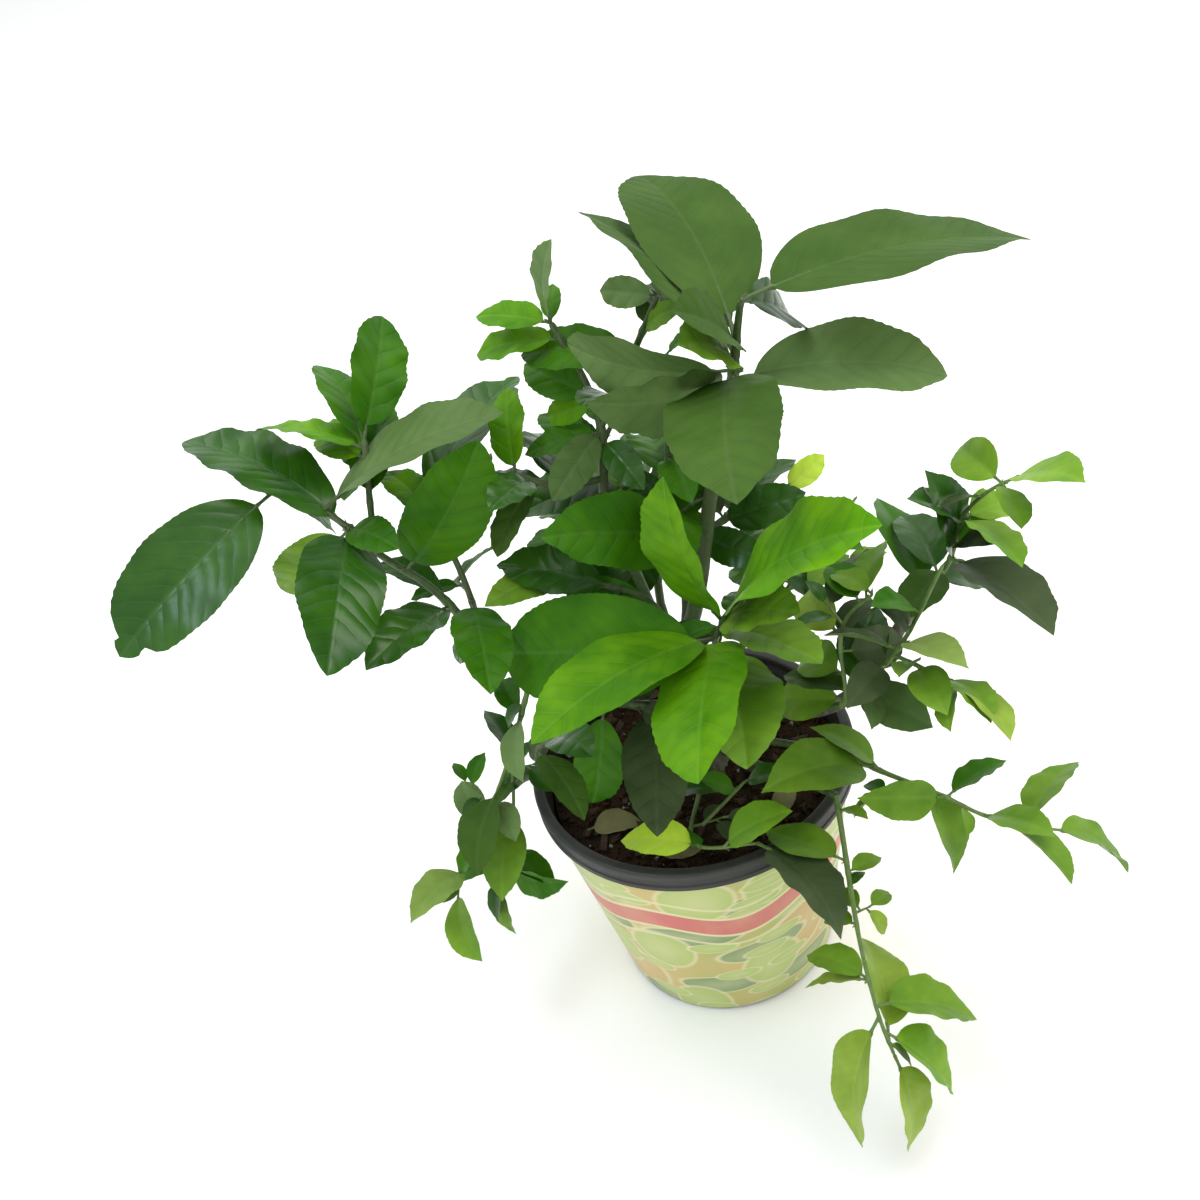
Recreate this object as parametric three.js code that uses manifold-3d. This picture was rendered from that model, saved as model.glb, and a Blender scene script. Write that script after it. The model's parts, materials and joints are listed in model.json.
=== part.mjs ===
// Potted multi-grafted citrus tree: a nursery pot with a printed sleeve, potting soil, a short grafted
// trunk, its boughs, and leafy masses of lemon and lime shoots. Millimetres, +Z up, the origin at the
// centre of the pot's underside, the shown side towards -Y.
import * as THREE from "three";
import { mergeVertices } from "three/addons/utils/BufferGeometryUtils.js";
import Module from "manifold-3d";

const wasm = await Module();
wasm.setup();

// Pot
const potHeight = 150;
const rimRadius = 90;
const baseRadius = 63;
const lipHeight = 12;
const lipOverhang = 4;
const potWall = 2.2;
const potFloor = 3;
const drainHoles = 6;
const drainHoleRadius = 5;
const drainHoleCircle = 50;
const roundSides = 40;

// Sleeve and soil
const sleeveThickness = 0.5;
const sleeveFoot = 2;
const soilLevel = 136;
const soilRipple = 1.6;
const clearGap = 0.3;

// Trunk
const trunkFoot = new THREE.Vector3(8, 4, soilLevel + clearGap);
const rootFlareHeight = 9;
const trunkPath = [[0, 90, rootFlareHeight], [-120, 83, 18], [165, 86, 24], [-140, 83, 22]];
const trunkRadii = [12.6, 8.6, 7.6, 7.4, 6.4];
const trunkSides = 10;

// Leaves and twigs of the two grafts
const kinds = {
  lemon: { broad: 0.46, petiole: 0.1, size: [40, 72], twig: [2.6, 1.6] },
  lime: { broad: 0.52, petiole: 0.12, size: [24, 42], twig: [1.7, 1.0] },
};
const leafArch = 0.08;
const leafTurn = 137.5;
const leafDepth = 0.02;
const leastLeafDepth = 0.9;
const petioleHalf = 0.8;
const petioleRoot = 0.4;
const twigSides = 3;
const twigSwell = 1.5;

const radians = (degrees) => (degrees * Math.PI) / 180;

// Unit vector that points along a heading (degrees from +X towards +Y) and a rise above level.
function direction(heading, rise) {
  const flat = Math.cos(radians(rise));
  return new THREE.Vector3(
    flat * Math.cos(radians(heading)),
    flat * Math.sin(radians(heading)),
    Math.sin(radians(rise)),
  );
}

// Numbers from 0 to 1 that follow from the seed.
function seededNumbers(seed) {
  let state = seed >>> 0;
  return () => {
    state = (Math.imul(state, 1664525) + 1013904223) >>> 0;
    return state / 4294967296;
  };
}

// Points reached by walking a path of [heading, rise, length] steps.
function walk(start, path) {
  const points = [start];
  for (const [heading, rise, length] of path) {
    points.push(points.at(-1).clone().addScaledVector(direction(heading, rise), length));
  }
  return points;
}

// Point at a share of the length of a polyline.
function pointAlong(points, share) {
  const lengths = points.slice(1).map((point, i) => point.distanceTo(points[i]));
  let left = share * lengths.reduce((sum, length) => sum + length, 0);
  for (let i = 0; i < lengths.length; i++) {
    if (left <= lengths[i] || i === lengths.length - 1) {
      return points[i].clone().lerp(points[i + 1], Math.min(1, left / lengths[i]));
    }
    left -= lengths[i];
  }
  return points.at(-1).clone();
}

// Manifold of a closed three.js geometry.
function solidOf(shape) {
  const bare = new THREE.BufferGeometry();
  bare.setAttribute("position", shape.getAttribute("position"));
  bare.setIndex(shape.getIndex());
  const merged = mergeVertices(bare, 1e-4);
  return new wasm.Manifold(
    new wasm.Mesh({
      numProp: 3,
      vertProperties: merged.attributes.position.array,
      triVerts: new Uint32Array(merged.index.array),
    }),
  );
}

// Solid of revolution about Z from [radius, height] corners that run round the section.
function turned(corners) {
  const profile = corners.map(([radius, height]) => new THREE.Vector2(radius, height));
  const shape = new THREE.LatheGeometry(profile, roundSides);
  shape.rotateX(Math.PI / 2);
  return solidOf(shape);
}

const trunkLine = walk(trunkFoot, trunkPath);

// Closed solid through rings of equally many points, the ends capped flat or drawn to a point.
function loft(rings, tip = null) {
  const sides = rings[0].length;
  const vertices = rings.flat();
  const faces = [];
  for (let r = 0; r < rings.length - 1; r++) {
    for (let s = 0; s < sides; s++) {
      const here = r * sides + s;
      const next = r * sides + ((s + 1) % sides);
      faces.push(here, next, next + sides);
      faces.push(here, next + sides, here + sides);
    }
  }
  for (let s = 1; s < sides - 1; s++) {
    faces.push(0, s + 1, s);
  }
  const last = (rings.length - 1) * sides;
  if (tip) {
    vertices.push(tip);
    for (let s = 0; s < sides; s++) {
      faces.push(last + s, last + ((s + 1) % sides), vertices.length - 1);
    }
  } else {
    for (let s = 1; s < sides - 1; s++) {
      faces.push(last, last + s, last + s + 1);
    }
  }
  const shape = new THREE.BufferGeometry().setFromPoints(vertices);
  shape.setIndex(faces);
  return solidOf(shape);
}

// Round limb through points, with a radius at each. Each ring stands square to the bisector of its bend
// and is carried on from the ring before it without a twist.
function limb(points, radii, sides) {
  let across = new THREE.Vector3(1, 0, 0);
  const rings = points.map((point, i) => {
    const before = points[Math.max(0, i - 1)];
    const after = points[Math.min(points.length - 1, i + 1)];
    const forward = after.clone().sub(before).normalize();
    if (i === 0 && Math.abs(forward.x) > 0.9) {
      across = new THREE.Vector3(0, 1, 0);
    }
    across = across.clone().addScaledVector(forward, -across.dot(forward)).normalize();
    const up = new THREE.Vector3().crossVectors(forward, across);
    const ring = [];
    for (let s = 0; s < sides; s++) {
      const angle = (2 * Math.PI * s) / sides;
      ring.push(
        point.clone()
          .addScaledVector(across, radii[i] * Math.cos(angle))
          .addScaledVector(up, radii[i] * Math.sin(angle)),
      );
    }
    return ring;
  });
  return loft(rings);
}

// Radii that taper evenly from one end of a list of points to the other.
const taper = (points, thick, thin) =>
  points.map((_, i) => thick + ((thin - thick) * i) / (points.length - 1));

// Half width of a blade, as a share of its full half width, at a share u of the blade's length.
const bladeProfile = (u) => Math.sin(Math.PI * u ** 0.85) ** 0.8;

// Leaf with a petiole, an arched blade with a keel below, and a pointed tip.
function leafSolid({ base, heading, rise: lift, roll, length, kind }) {
  const { broad, petiole } = kinds[kind];
  const along = direction(heading, lift);
  const up = new THREE.Vector3(0, 0, 1);
  const level = up.addScaledVector(along, -along.z).normalize();
  const side = new THREE.Vector3().crossVectors(along, level);
  const normal = level.clone().multiplyScalar(Math.cos(radians(roll)))
    .addScaledVector(side, Math.sin(radians(roll)));
  const across = new THREE.Vector3().crossVectors(along, normal);
  const depth = Math.max(leafDepth * length, leastLeafDepth);
  const blades = length > 60 ? 4 : length > 34 ? 3 : 2;
  const shares = [0, petiole];
  for (let i = 1; i <= blades; i++) {
    shares.push(petiole + ((1 - petiole) * (i - 0.35)) / (blades + 0.3));
  }
  const rings = shares.map((t) => {
    const spine = base.clone().addScaledVector(along, t * length)
      .addScaledVector(normal, 4 * leafArch * length * t * (1 - t));
    const u = (t - petiole) / (1 - petiole);
    const half = u > 0 ? (broad * length * bladeProfile(u)) / 2 : u < 0 ? petioleRoot : petioleHalf;
    const rise = Math.min(depth / 2, half);
    return [
      spine.clone().addScaledVector(across, half).addScaledVector(normal, rise),
      spine.clone().addScaledVector(normal, -rise),
      spine.clone().addScaledVector(across, -half).addScaledVector(normal, rise),
    ];
  });
  return loft(rings, base.clone().addScaledVector(along, length));
}

// Stems and leaves of one mass: side stems branch from its first stem, the leaves that show are placed one
// by one, and the rest follow the turn of the shoot with seeded sizes and angles.
function growMass({ kind, start, onTrunk, seed, stems, rest }) {
  const random = seededNumbers(seed);
  const { size } = kinds[kind];
  const lines = [];
  const shownLeaves = [];
  for (const { from = 0, path, shown } of stems) {
    const origin = start ? new THREE.Vector3(...start) : pointAlong(trunkLine, onTrunk);
    const points = walk(lines.length ? pointAlong(lines[0], from) : origin, path);
    lines.push(points);
    for (const [share, heading, rise, roll, length] of shown) {
      shownLeaves.push({ base: pointAlong(points, share), heading, rise, roll, length, kind });
    }
  }
  const restLeaves = [];
  const firstTurn = 360 * random();
  for (let i = 0; i < rest; i++) {
    const points = lines[i % lines.length];
    const share = 0.15 + (0.8 * (i + random())) / rest;
    const heading = firstTurn + leafTurn * i + 30 * (random() - 0.5);
    const rise = 35 * random() - 5;
    const length = size[0] + (size[1] - size[0]) * random() ** 1.5;
    const roll = 50 * (random() - 0.5);
    restLeaves.push({ base: pointAlong(points, share), heading, rise, roll, length, kind });
  }
  return { lines, shownLeaves, restLeaves };
}

// Masses of foliage, from the tip of a bough, or from inside the trunk at the share "onTrunk" of its
// length. Each stem has a path of [heading, rise, length] steps and the leaves that show on it: [share of
// the stem, heading, rise, roll, length]. Side stems branch from the first at the share "from", and
// "rest" more leaves are grown by the seed.
const masses = {
  left_lemon_foliage: {
    kind: "lemon",
    start: [-92, 20, 231],
    seed: 459,
    rest: 6,
    stems: [
      {
        path: [[165, 65, 52], [155, 40, 30], [150, 45, 32], [155, 25, 32]],
        shown: [
          [1, -145, -20, -40, 112],
          [0.95, 70, -55, 65, 50],
          [0.7, 150, 30, 5, 100],
          [0.8, -5, 20, 0, 110],
          [0.7, 160, -35, -85, 68],
          [0.7, -95, -10, -40, 98],
          [0.7, -50, 5, 25, 46],
          [0.45, -10, 50, 100, 90],
          [0.25, -125, 10, -10, 66],
        ],
      },
      {
        from: 0.03,
        path: [[100, 75, 42], [120, 65, 43]],
        shown: [
          [1, 45, 20, -5, 88],
          [0.85, 120, 15, 10, 52],
          [0.1, 160, -40, -45, 28],
        ],
      },
      {
        from: 0.58,
        path: [[70, 62, 57]],
        shown: [
          [1, 70, 35, 55, 70],
          [0.95, 110, 20, 30, 68],
          [0.9, 160, 15, 15, 60],
        ],
      },
    ],
  },
  top_lemon_foliage: {
    kind: "lemon",
    start: [54, -10, 370],
    seed: 5,
    rest: 0,
    stems: [
      {
        path: [[-60, 72, 33], [-30, 75, 12]],
        shown: [
          [1, 10, -5, 5, 134],
          [1, 55, -35, 50, 58],
          [0.4, 125, 30, 25, 104],
          [0.55, 100, 20, 0, 126],
          [0.5, -125, 40, -50, 60],
          [0.3, -120, 35, -50, 60],
          [0.05, -15, -5, 15, 92],
          [0.2, 145, 5, -110, 86],
          [0.15, -100, 0, 5, 102],
          [0.1, -155, 15, -110, 74],
        ],
      },
    ],
  },
  centre_lemon_foliage: {
    kind: "lemon",
    start: [18, -22, 223],
    seed: 8,
    rest: 0,
    stems: [
      {
        path: [[-68, 60, 58]],
        shown: [
          [0.95, -160, 80, -165, 88],
          [1, -40, 40, 15, 110],
          [0.9, -55, 30, 20, 62],
          [0.8, -55, 10, -10, 66],
          [0.7, -105, 0, 15, 98],
          [0.65, -150, 5, 5, 108],
          [0.6, 160, -5, -50, 118],
          [0.4, -90, 5, -35, 92],
        ],
      },
    ],
  },
  back_left_foliage: {
    kind: "lemon",
    start: [-14, 36, 303],
    seed: 270,
    rest: 14,
    stems: [
      {
        path: [[60, 70, 34], [120, 80, 21], [145, 70, 36]],
        shown: [
          [1, -55, 70, 70, 48],
          [1, 75, 35, 5, 22],
          [1, 150, 5, -15, 42],
          [0.9, 160, -5, -15, 46],
          [0.55, 135, 15, -45, 44],
          [0.5, 150, -15, -65, 30],
          [0.35, -140, -25, -45, 44],
          [0.3, -60, -30, 30, 36],
        ],
      },
      {
        from: 0.36,
        path: [[-15, 58, 78]],
        shown: [
          [1, 140, 0, -60, 34],
          [0.75, -35, 30, 50, 26],
          [0.6, 155, 0, -25, 60],
        ],
      },
      {
        from: 0.08,
        path: [[-175, 5, 21], [180, 30, 26]],
        shown: [
          [0.95, 85, 40, -25, 48],
          [0.8, -115, 15, -15, 46],
          [0.7, -145, -35, -5, 44],
        ],
      },
    ],
  },
  inner_back_foliage: {
    kind: "lemon",
    start: [18, 14, 263],
    seed: 455,
    rest: 16,
    stems: [
      {
        path: [[90, 65, 24], [75, 75, 22], [50, 75, 20]],
        shown: [
          [1, 105, 15, -20, 32],
          [0.9, -40, 40, 75, 28],
          [0.55, 135, 5, -45, 34],
        ],
      },
      {
        from: 0.15,
        path: [[20, 10, 18], [10, 12, 43]],
        shown: [
          [1, 25, 15, 50, 28],
          [0.75, -50, -15, 30, 38],
          [0.4, -20, 20, 60, 48],
          [0.2, -45, -5, 45, 42],
          [0.05, -155, 30, -55, 86],
        ],
      },
    ],
  },
  inner_left_foliage: {
    kind: "lemon",
    onTrunk: 0.84,
    seed: 105,
    rest: 5,
    stems: [
      {
        path: [[-127, 0, 17], [-150, 32, 43], [-160, -5, 23], [-165, -20, 18]],
        shown: [
          [1, -65, -20, -25, 46],
          [0.85, 160, -40, -35, 28],
          [0.6, -155, -70, -55, 60],
          [0.4, -10, -50, 35, 40],
          [0.25, -100, -15, -5, 76],
        ],
      },
      {
        from: 0.19,
        path: [[72, 68, 53], [155, 20, 49]],
        shown: [
          [1, -160, 5, -20, 46],
          [0.7, -150, -10, -45, 40],
          [0.5, 145, 5, -45, 52],
        ],
      },
    ],
  },
  right_lime_foliage: {
    kind: "lime",
    start: [124, -36, 249],
    seed: 76,
    rest: 8,
    stems: [
      {
        path: [[-20, 55, 23], [-20, 72, 33], [-15, 45, 14], [5, 15, 10]],
        shown: [
          [1, -70, 25, 5, 50],
          [0.95, 100, 0, -35, 40],
          [0.95, -95, -5, -25, 32],
          [0.65, 30, -15, 25, 34],
          [0.65, -75, 0, -25, 44],
          [0.6, -155, 45, -20, 42],
          [0.45, -65, 30, 15, 34],
          [0.35, -155, 80, -55, 54],
          [0.35, -70, 0, -15, 70],
          [0.2, 95, 10, 5, 46],
          [0.15, 30, -30, 25, 40],
          [0.05, 95, 20, 40, 62],
        ],
      },
    ],
  },
  front_lime_foliage: {
    kind: "lime",
    start: [76, -60, 214],
    seed: 44,
    rest: 9,
    stems: [
      {
        path: [[-20, 50, 41], [-25, 65, 60]],
        shown: [
          [0.7, -150, 40, -15, 32],
          [0.6, -160, 55, -55, 28],
          [0.5, -60, 15, -10, 42],
          [0.35, -135, 0, -30, 34],
          [0.2, -100, -5, -40, 30],
          [0.1, 135, -5, 5, 40],
          [0.1, -50, 0, 40, 44],
          [0.1, 55, 30, 15, 46],
          [0.05, 135, -20, -45, 44],
        ],
      },
      {
        from: 0.42,
        path: [[-45, -10, 33]],
        shown: [
          [1, -75, 0, -30, 40],
          [0.95, -115, -5, 45, 28],
          [0.8, -75, 5, -10, 36],
          [0.35, -85, 0, -20, 36],
        ],
      },
      {
        from: 0.04,
        path: [[35, 78, 49], [0, 35, 13]],
        shown: [
          [1, 120, 0, -5, 28],
          [0.95, 60, 10, -30, 38],
          [0.6, 105, 0, -30, 42],
          [0.55, 55, 5, -15, 30],
          [0.45, 25, -20, 45, 36],
          [0.25, 115, -20, -40, 42],
        ],
      },
    ],
  },
  drooping_right_foliage: {
    kind: "lime",
    start: [76, -58, 180],
    seed: 439,
    rest: 2,
    stems: [
      {
        path: [[-25, -35, 12], [-35, -15, 41], [-35, -20, 18], [-15, -20, 34]],
        shown: [
          [1, -10, -40, -15, 52],
          [0.9, 40, 5, -30, 48],
          [0.8, -75, 5, -35, 50],
          [0.7, -55, 20, -10, 40],
          [0.6, -105, -5, -50, 18],
          [0.5, 15, 10, -20, 36],
          [0.5, 180, 15, -75, 44],
          [0.4, -70, -60, -25, 48],
          [0.15, -160, 20, -10, 66],
        ],
      },
    ],
  },
  drooping_front_foliage: {
    kind: "lime",
    start: [65, -80, 175],
    seed: 83,
    rest: 0,
    stems: [
      {
        path: [[-95, -45, 89], [-85, -50, 21], [-75, -50, 16]],
        shown: [
          [1, -90, -70, -50, 56],
          [0.95, -35, -55, -20, 18],
          [0.95, 85, 5, 45, 60],
          [0.9, -20, -55, -10, 56],
          [0.85, -130, -55, 40, 68],
          [0.8, 0, -30, -10, 56],
          [0.7, 160, -20, 30, 34],
          [0.7, 135, -10, 5, 36],
          [0.5, 135, -20, 0, 22],
          [0.35, 45, -5, -10, 12],
          [0.3, 25, -10, 5, 20],
          [0.25, 140, 0, 10, 46],
          [0.05, -50, 10, -15, 18],
        ],
      },
    ],
  },
  drooping_left_foliage: {
    kind: "lime",
    start: [-73, -4, 226],
    seed: 240,
    rest: 4,
    stems: [
      {
        path: [[-170, -63, 52], [-164, -56, 92]],
        shown: [
          [1, -80, -20, 40, 44],
          [0.95, -165, -30, -50, 20],
          [0.9, -130, 10, -5, 46],
          [0.75, -155, -50, -5, 26],
          [0.7, 105, 20, 5, 34],
          [0.55, -70, -25, 5, 28],
          [0.5, -120, -35, -30, 48],
          [0.35, 110, 25, 35, 32],
          [0.15, -100, -25, 35, 38],
          [0.1, -170, -45, -10, 18],
        ],
      },
      {
        from: 0.3,
        path: [[-170, -75, 66], [-162, -65, 36]],
        shown: [
          [1, -90, -65, 45, 32],
          [0.95, -125, -55, 20, 26],
          [0.75, -45, -15, -10, 36],
          [0.85, -40, 10, 70, 48],
          [0.45, -110, -35, -20, 50],
          [0.25, -125, -5, 0, 16],
        ],
      },
    ],
  },
  soil_shoot_foliage: {
    kind: "lime",
    onTrunk: 0.08,
    seed: 104,
    rest: 0,
    stems: [
      {
        path: [[-105, 0, 27], [-95, 14, 58], [-10, 0, 27]],
        shown: [
          [1, -65, -5, -25, 66],
          [0.85, -15, 35, 10, 44],
          [0.75, 155, -5, -5, 46],
          [0.6, -110, 20, -25, 20],
        ],
      },
      {
        from: 0.58,
        path: [[20, 28, 31]],
        shown: [
          [1, -25, 25, 5, 28],
          [0.85, -175, 40, -20, 24],
          [0.7, 155, -5, 10, 32],
        ],
      },
    ],
  },
  back_lemon_foliage: {
    kind: "lemon",
    start: [2, 48, 216],
    seed: 354,
    rest: 26,
    stems: [
      { path: [[85, 48, 45], [95, 20, 45]], shown: [] },
      { from: 0.3, path: [[135, 25, 55]], shown: [] },
      { from: 0.45, path: [[50, 50, 50]], shown: [] },
    ],
  },
  back_right_foliage: {
    kind: "lime",
    start: [58, 32, 205],
    seed: 283,
    rest: 26,
    stems: [
      { path: [[25, 35, 50], [40, 15, 35]], shown: [] },
      { from: 0.25, path: [[75, 30, 50]], shown: [] },
      { from: 0.2, path: [[-5, 20, 45]], shown: [] },
    ],
  },
};

// Boughs: where each leaves the trunk's line (a share of its height), its path to the mass that it
// carries, and its thick and thin radii.
const boughs = {
  top_bough: { from: 0.99, through: [[20, 0, 250], [36, 0, 308]], to: "top_lemon_foliage", radii: [4.4, 3] },
  left_bough: { from: 0.86, through: [[-44, 14, 210]], to: "left_lemon_foliage", radii: [3.8, 2.8] },
  back_left_bough: { from: 0.95, through: [[-8, 36, 254]], to: "back_left_foliage", radii: [3.4, 2.7] },
  centre_bough: { from: 0.8, through: [], to: "centre_lemon_foliage", radii: [3.4, 2.8] },
  inner_back_bough: { from: 0.9, through: [[14, 14, 232]], to: "inner_back_foliage", radii: [3, 2.7] },
  right_bough: { from: 0.66, through: [[80, -40, 198]], to: "right_lime_foliage", radii: [4.6, 3.2] },
  front_lime_bough: { from: 0.5, through: [], to: "front_lime_foliage", radii: [2.6, 1.9] },
  drooping_right_bough: { from: 0.34, through: [], to: "drooping_right_foliage", radii: [2.4, 1.8] },
  drooping_front_bough: { from: 0.2, through: [], to: "drooping_front_foliage", radii: [2.4, 1.8] },
  drooping_left_bough: {
    from: 0.6,
    through: [[-40, -6, 204]],
    to: "drooping_left_foliage",
    radii: [2.4, 1.8],
  },
  back_bough: { from: 0.76, through: [], to: "back_lemon_foliage", radii: [3.2, 2.7] },
  back_right_bough: { from: 0.6, through: [], to: "back_right_foliage", radii: [2.6, 1.9] },
};
const boughSides = 8;

// Pot: a tapering wall with a rolled lip, a flat floor, and drain holes near its edge.
function makePot() {
  const lipFoot = potHeight - lipHeight;
  const wallTop = rimRadius - lipOverhang;
  const shell = turned([
    [0, 0],
    [baseRadius, 0],
    [wallTop, lipFoot],
    [rimRadius, lipFoot],
    [rimRadius, potHeight - 2],
    [rimRadius - 2, potHeight],
    [wallTop - potWall, potHeight],
    [baseRadius - potWall, potFloor],
    [0, potFloor],
    [0, 0],
  ]);
  let pot = shell;
  for (let i = 0; i < drainHoles; i++) {
    const angle = (2 * Math.PI * i) / drainHoles;
    const plug = new THREE.CylinderGeometry(drainHoleRadius, drainHoleRadius, 4 * potFloor, 12);
    plug.rotateX(Math.PI / 2);
    plug.translate(drainHoleCircle * Math.cos(angle), drainHoleCircle * Math.sin(angle), 0);
    pot = pot.subtract(solidOf(plug));
  }
  return pot;
}

// Inner radius of the pot at a height.
const innerRadius = (height) =>
  baseRadius - potWall + ((rimRadius - lipOverhang - baseRadius) * (height - potFloor)) /
    (potHeight - potFloor);

// Outer radius of the pot's wall at a height below the lip.
const outerRadius = (height) =>
  baseRadius + ((rimRadius - lipOverhang - baseRadius) * height) / (potHeight - lipHeight);

// Potting soil: fills the pot to a little below the lip, dished where the pot was watered.
function makeSoil() {
  const foot = potFloor + clearGap;
  const edge = soilLevel - soilRipple;
  return turned([
    [0, foot],
    [innerRadius(foot) - clearGap, foot],
    [innerRadius(edge) - clearGap, edge],
    [0.72 * innerRadius(edge), edge - soilRipple],
    [0.3 * innerRadius(edge), soilLevel],
    [0, soilLevel],
    [0, foot],
  ]);
}

// Printed sleeve round the wall, from the foot to just under the lip.
function makeSleeve() {
  const top = potHeight - lipHeight - clearGap;
  const corner = (height, out) => [outerRadius(height) + clearGap + out, height];
  return turned([
    corner(sleeveFoot, 0),
    corner(sleeveFoot, sleeveThickness),
    corner(top, sleeveThickness),
    corner(top, 0),
    corner(sleeveFoot, 0),
  ]);
}

// Largest body of a solid that a cut may have left in several.
function mainBody(solid) {
  const bodies = solid.decompose();
  bodies.sort((a, b) => b.volume() - a.volume());
  return bodies[0];
}

// Trunk: a tapering, slightly crooked stem that flares at its flat foot.
function makeTrunk(grow = 0) {
  return limb(trunkLine, trunkRadii.map((radius) => radius + grow), trunkSides);
}

// Bough from inside the trunk to the start of its mass, kept clear of what it meets.
function boughLine({ from, through, to }) {
  const points = [pointAlong(trunkLine, from), ...through.map((p) => new THREE.Vector3(...p))];
  const end = new THREE.Vector3(...masses[to].start);
  const back = end.clone().sub(points.at(-1)).normalize();
  points.push(end.addScaledVector(back, -clearGap));
  return points;
}

const solids = {};
const group = new THREE.Group();

// Adds a solid to the group as a named mesh.
function addMesh(name, solid, look) {
  solids[name] = solid;
  const { vertProperties, triVerts } = solid.getMesh();
  const shape = new THREE.BufferGeometry();
  shape.setAttribute("position", new THREE.BufferAttribute(vertProperties, 3));
  shape.setIndex(new THREE.BufferAttribute(triVerts, 1));
  shape.computeVertexNormals();
  const mesh = new THREE.Mesh(shape, look);
  mesh.name = name;
  group.add(mesh);
}

const look = (color, roughness) => new THREE.MeshStandardMaterial({ color, roughness, metalness: 0 });
const looks = {
  plastic: look(0x24262a, 0.45),
  soil: look(0x3b2c22, 0.95),
  sleeve: look(0xcfd39a, 0.5),
  bark: look(0x5f5a48, 0.8),
  greenBark: look(0x4d6a34, 0.6),
  lemon: look(0x3f7d27, 0.4),
  lime: look(0x568a36, 0.42),
};

addMesh("pot", makePot(), looks.plastic);
addMesh("potting_soil", makeSoil(), looks.soil);
addMesh("pot_sleeve", makeSleeve(), looks.sleeve);
addMesh("trunk", makeTrunk(), looks.bark);

// Limbs, each cut clear of the trunk and of the limbs made before it.
let limbs = makeTrunk(clearGap);
for (const [name, bough] of Object.entries(boughs)) {
  const line = boughLine(bough);
  const [thick, thin] = bough.radii;
  const body = mainBody(limb(line, taper(line, thick, thin), boughSides).subtract(limbs));
  addMesh(name, body, looks.greenBark);
  limbs = limbs.add(limb(line, taper(line, thick + clearGap, thin + clearGap), boughSides));
}

// Masses: stems joined with their leaves. A leaf that would touch a limb, the pot or another mass is
// left out, and so is one of the seeded leaves that would run through a leaf of its own mass.
let taken = limbs.add(solids.pot).add(solids.potting_soil).add(solids.pot_sleeve);
for (const [name, spec] of Object.entries(masses)) {
  const { lines, shownLeaves, restLeaves } = growMass(spec);
  const [thick, thin] = kinds[spec.kind].twig;
  let stems = null;
  lines.forEach((line, i) => {
    const foot = i === 0 ? thick : 0.75 * thick;
    const stem = limb(line, taper(line, twigSwell * foot, twigSwell * thin), twigSides);
    stems = stems ? stems.add(stem) : stem;
  });
  stems = mainBody(stems.subtract(limbs));
  let leaves = null;
  const place = (leaf, own) => {
    const solid = leafSolid(leaf);
    const blocked = own ? taken.add(own) : taken;
    if (solid.intersect(blocked).volume() === 0) {
      leaves = leaves ? leaves.add(solid) : solid;
    }
  };
  for (const leaf of shownLeaves) {
    place(leaf, null);
  }
  for (const leaf of restLeaves) {
    place(leaf, leaves);
  }
  const mass = mainBody(stems.add(leaves));
  addMesh(name, mass, looks[spec.kind]);
  taken = taken.add(mass);
}

export default group;
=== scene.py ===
# Potted multi-grafted citrus tree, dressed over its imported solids. Shapes are worked out in millimetres,
# +Z up, from the centre of the pot's underside, with the shown side towards -Y.
import json
import math

import bpy
import numpy as np
from mathutils import Matrix, Vector
from mathutils.bvhtree import BVHTree
from mathutils.kdtree import KDTree

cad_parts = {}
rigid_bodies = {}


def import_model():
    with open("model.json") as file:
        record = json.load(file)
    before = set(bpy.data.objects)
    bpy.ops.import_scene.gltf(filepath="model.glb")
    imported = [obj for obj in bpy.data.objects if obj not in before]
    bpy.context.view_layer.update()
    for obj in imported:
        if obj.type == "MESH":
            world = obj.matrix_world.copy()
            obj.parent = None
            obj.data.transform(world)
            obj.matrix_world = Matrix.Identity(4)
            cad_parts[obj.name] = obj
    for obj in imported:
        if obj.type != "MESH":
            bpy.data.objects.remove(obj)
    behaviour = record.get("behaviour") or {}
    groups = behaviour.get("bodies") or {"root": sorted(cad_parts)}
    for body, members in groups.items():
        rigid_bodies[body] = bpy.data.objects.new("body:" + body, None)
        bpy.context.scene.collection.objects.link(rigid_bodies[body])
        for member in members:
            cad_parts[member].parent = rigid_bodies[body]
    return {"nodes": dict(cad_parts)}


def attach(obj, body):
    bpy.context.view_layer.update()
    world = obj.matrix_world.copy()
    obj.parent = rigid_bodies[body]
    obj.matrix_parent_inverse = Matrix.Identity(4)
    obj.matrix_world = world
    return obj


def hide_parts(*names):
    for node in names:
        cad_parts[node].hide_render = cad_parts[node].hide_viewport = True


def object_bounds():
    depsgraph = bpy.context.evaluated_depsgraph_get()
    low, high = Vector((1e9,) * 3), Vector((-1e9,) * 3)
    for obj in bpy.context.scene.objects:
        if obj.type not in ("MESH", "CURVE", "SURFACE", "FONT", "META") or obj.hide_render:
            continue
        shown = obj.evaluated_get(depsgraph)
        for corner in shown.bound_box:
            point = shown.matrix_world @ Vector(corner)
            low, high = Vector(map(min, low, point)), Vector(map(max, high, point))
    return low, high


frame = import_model()
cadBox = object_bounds()
mm = 0.001


# Unit vector along a heading (degrees from +X towards +Y) and a rise above level.
def direction(heading, rise):
    flat = math.cos(math.radians(rise))
    return np.array([flat * math.cos(math.radians(heading)), flat * math.sin(math.radians(heading)),
                     math.sin(math.radians(rise))])


def unit(vectors):
    return vectors / np.linalg.norm(vectors, axis=-1, keepdims=True)


# Pair of coordinates turned by an angle.
def turned(a, b, angle):
    return a * np.cos(angle) - b * np.sin(angle), a * np.sin(angle) + b * np.cos(angle)


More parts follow.
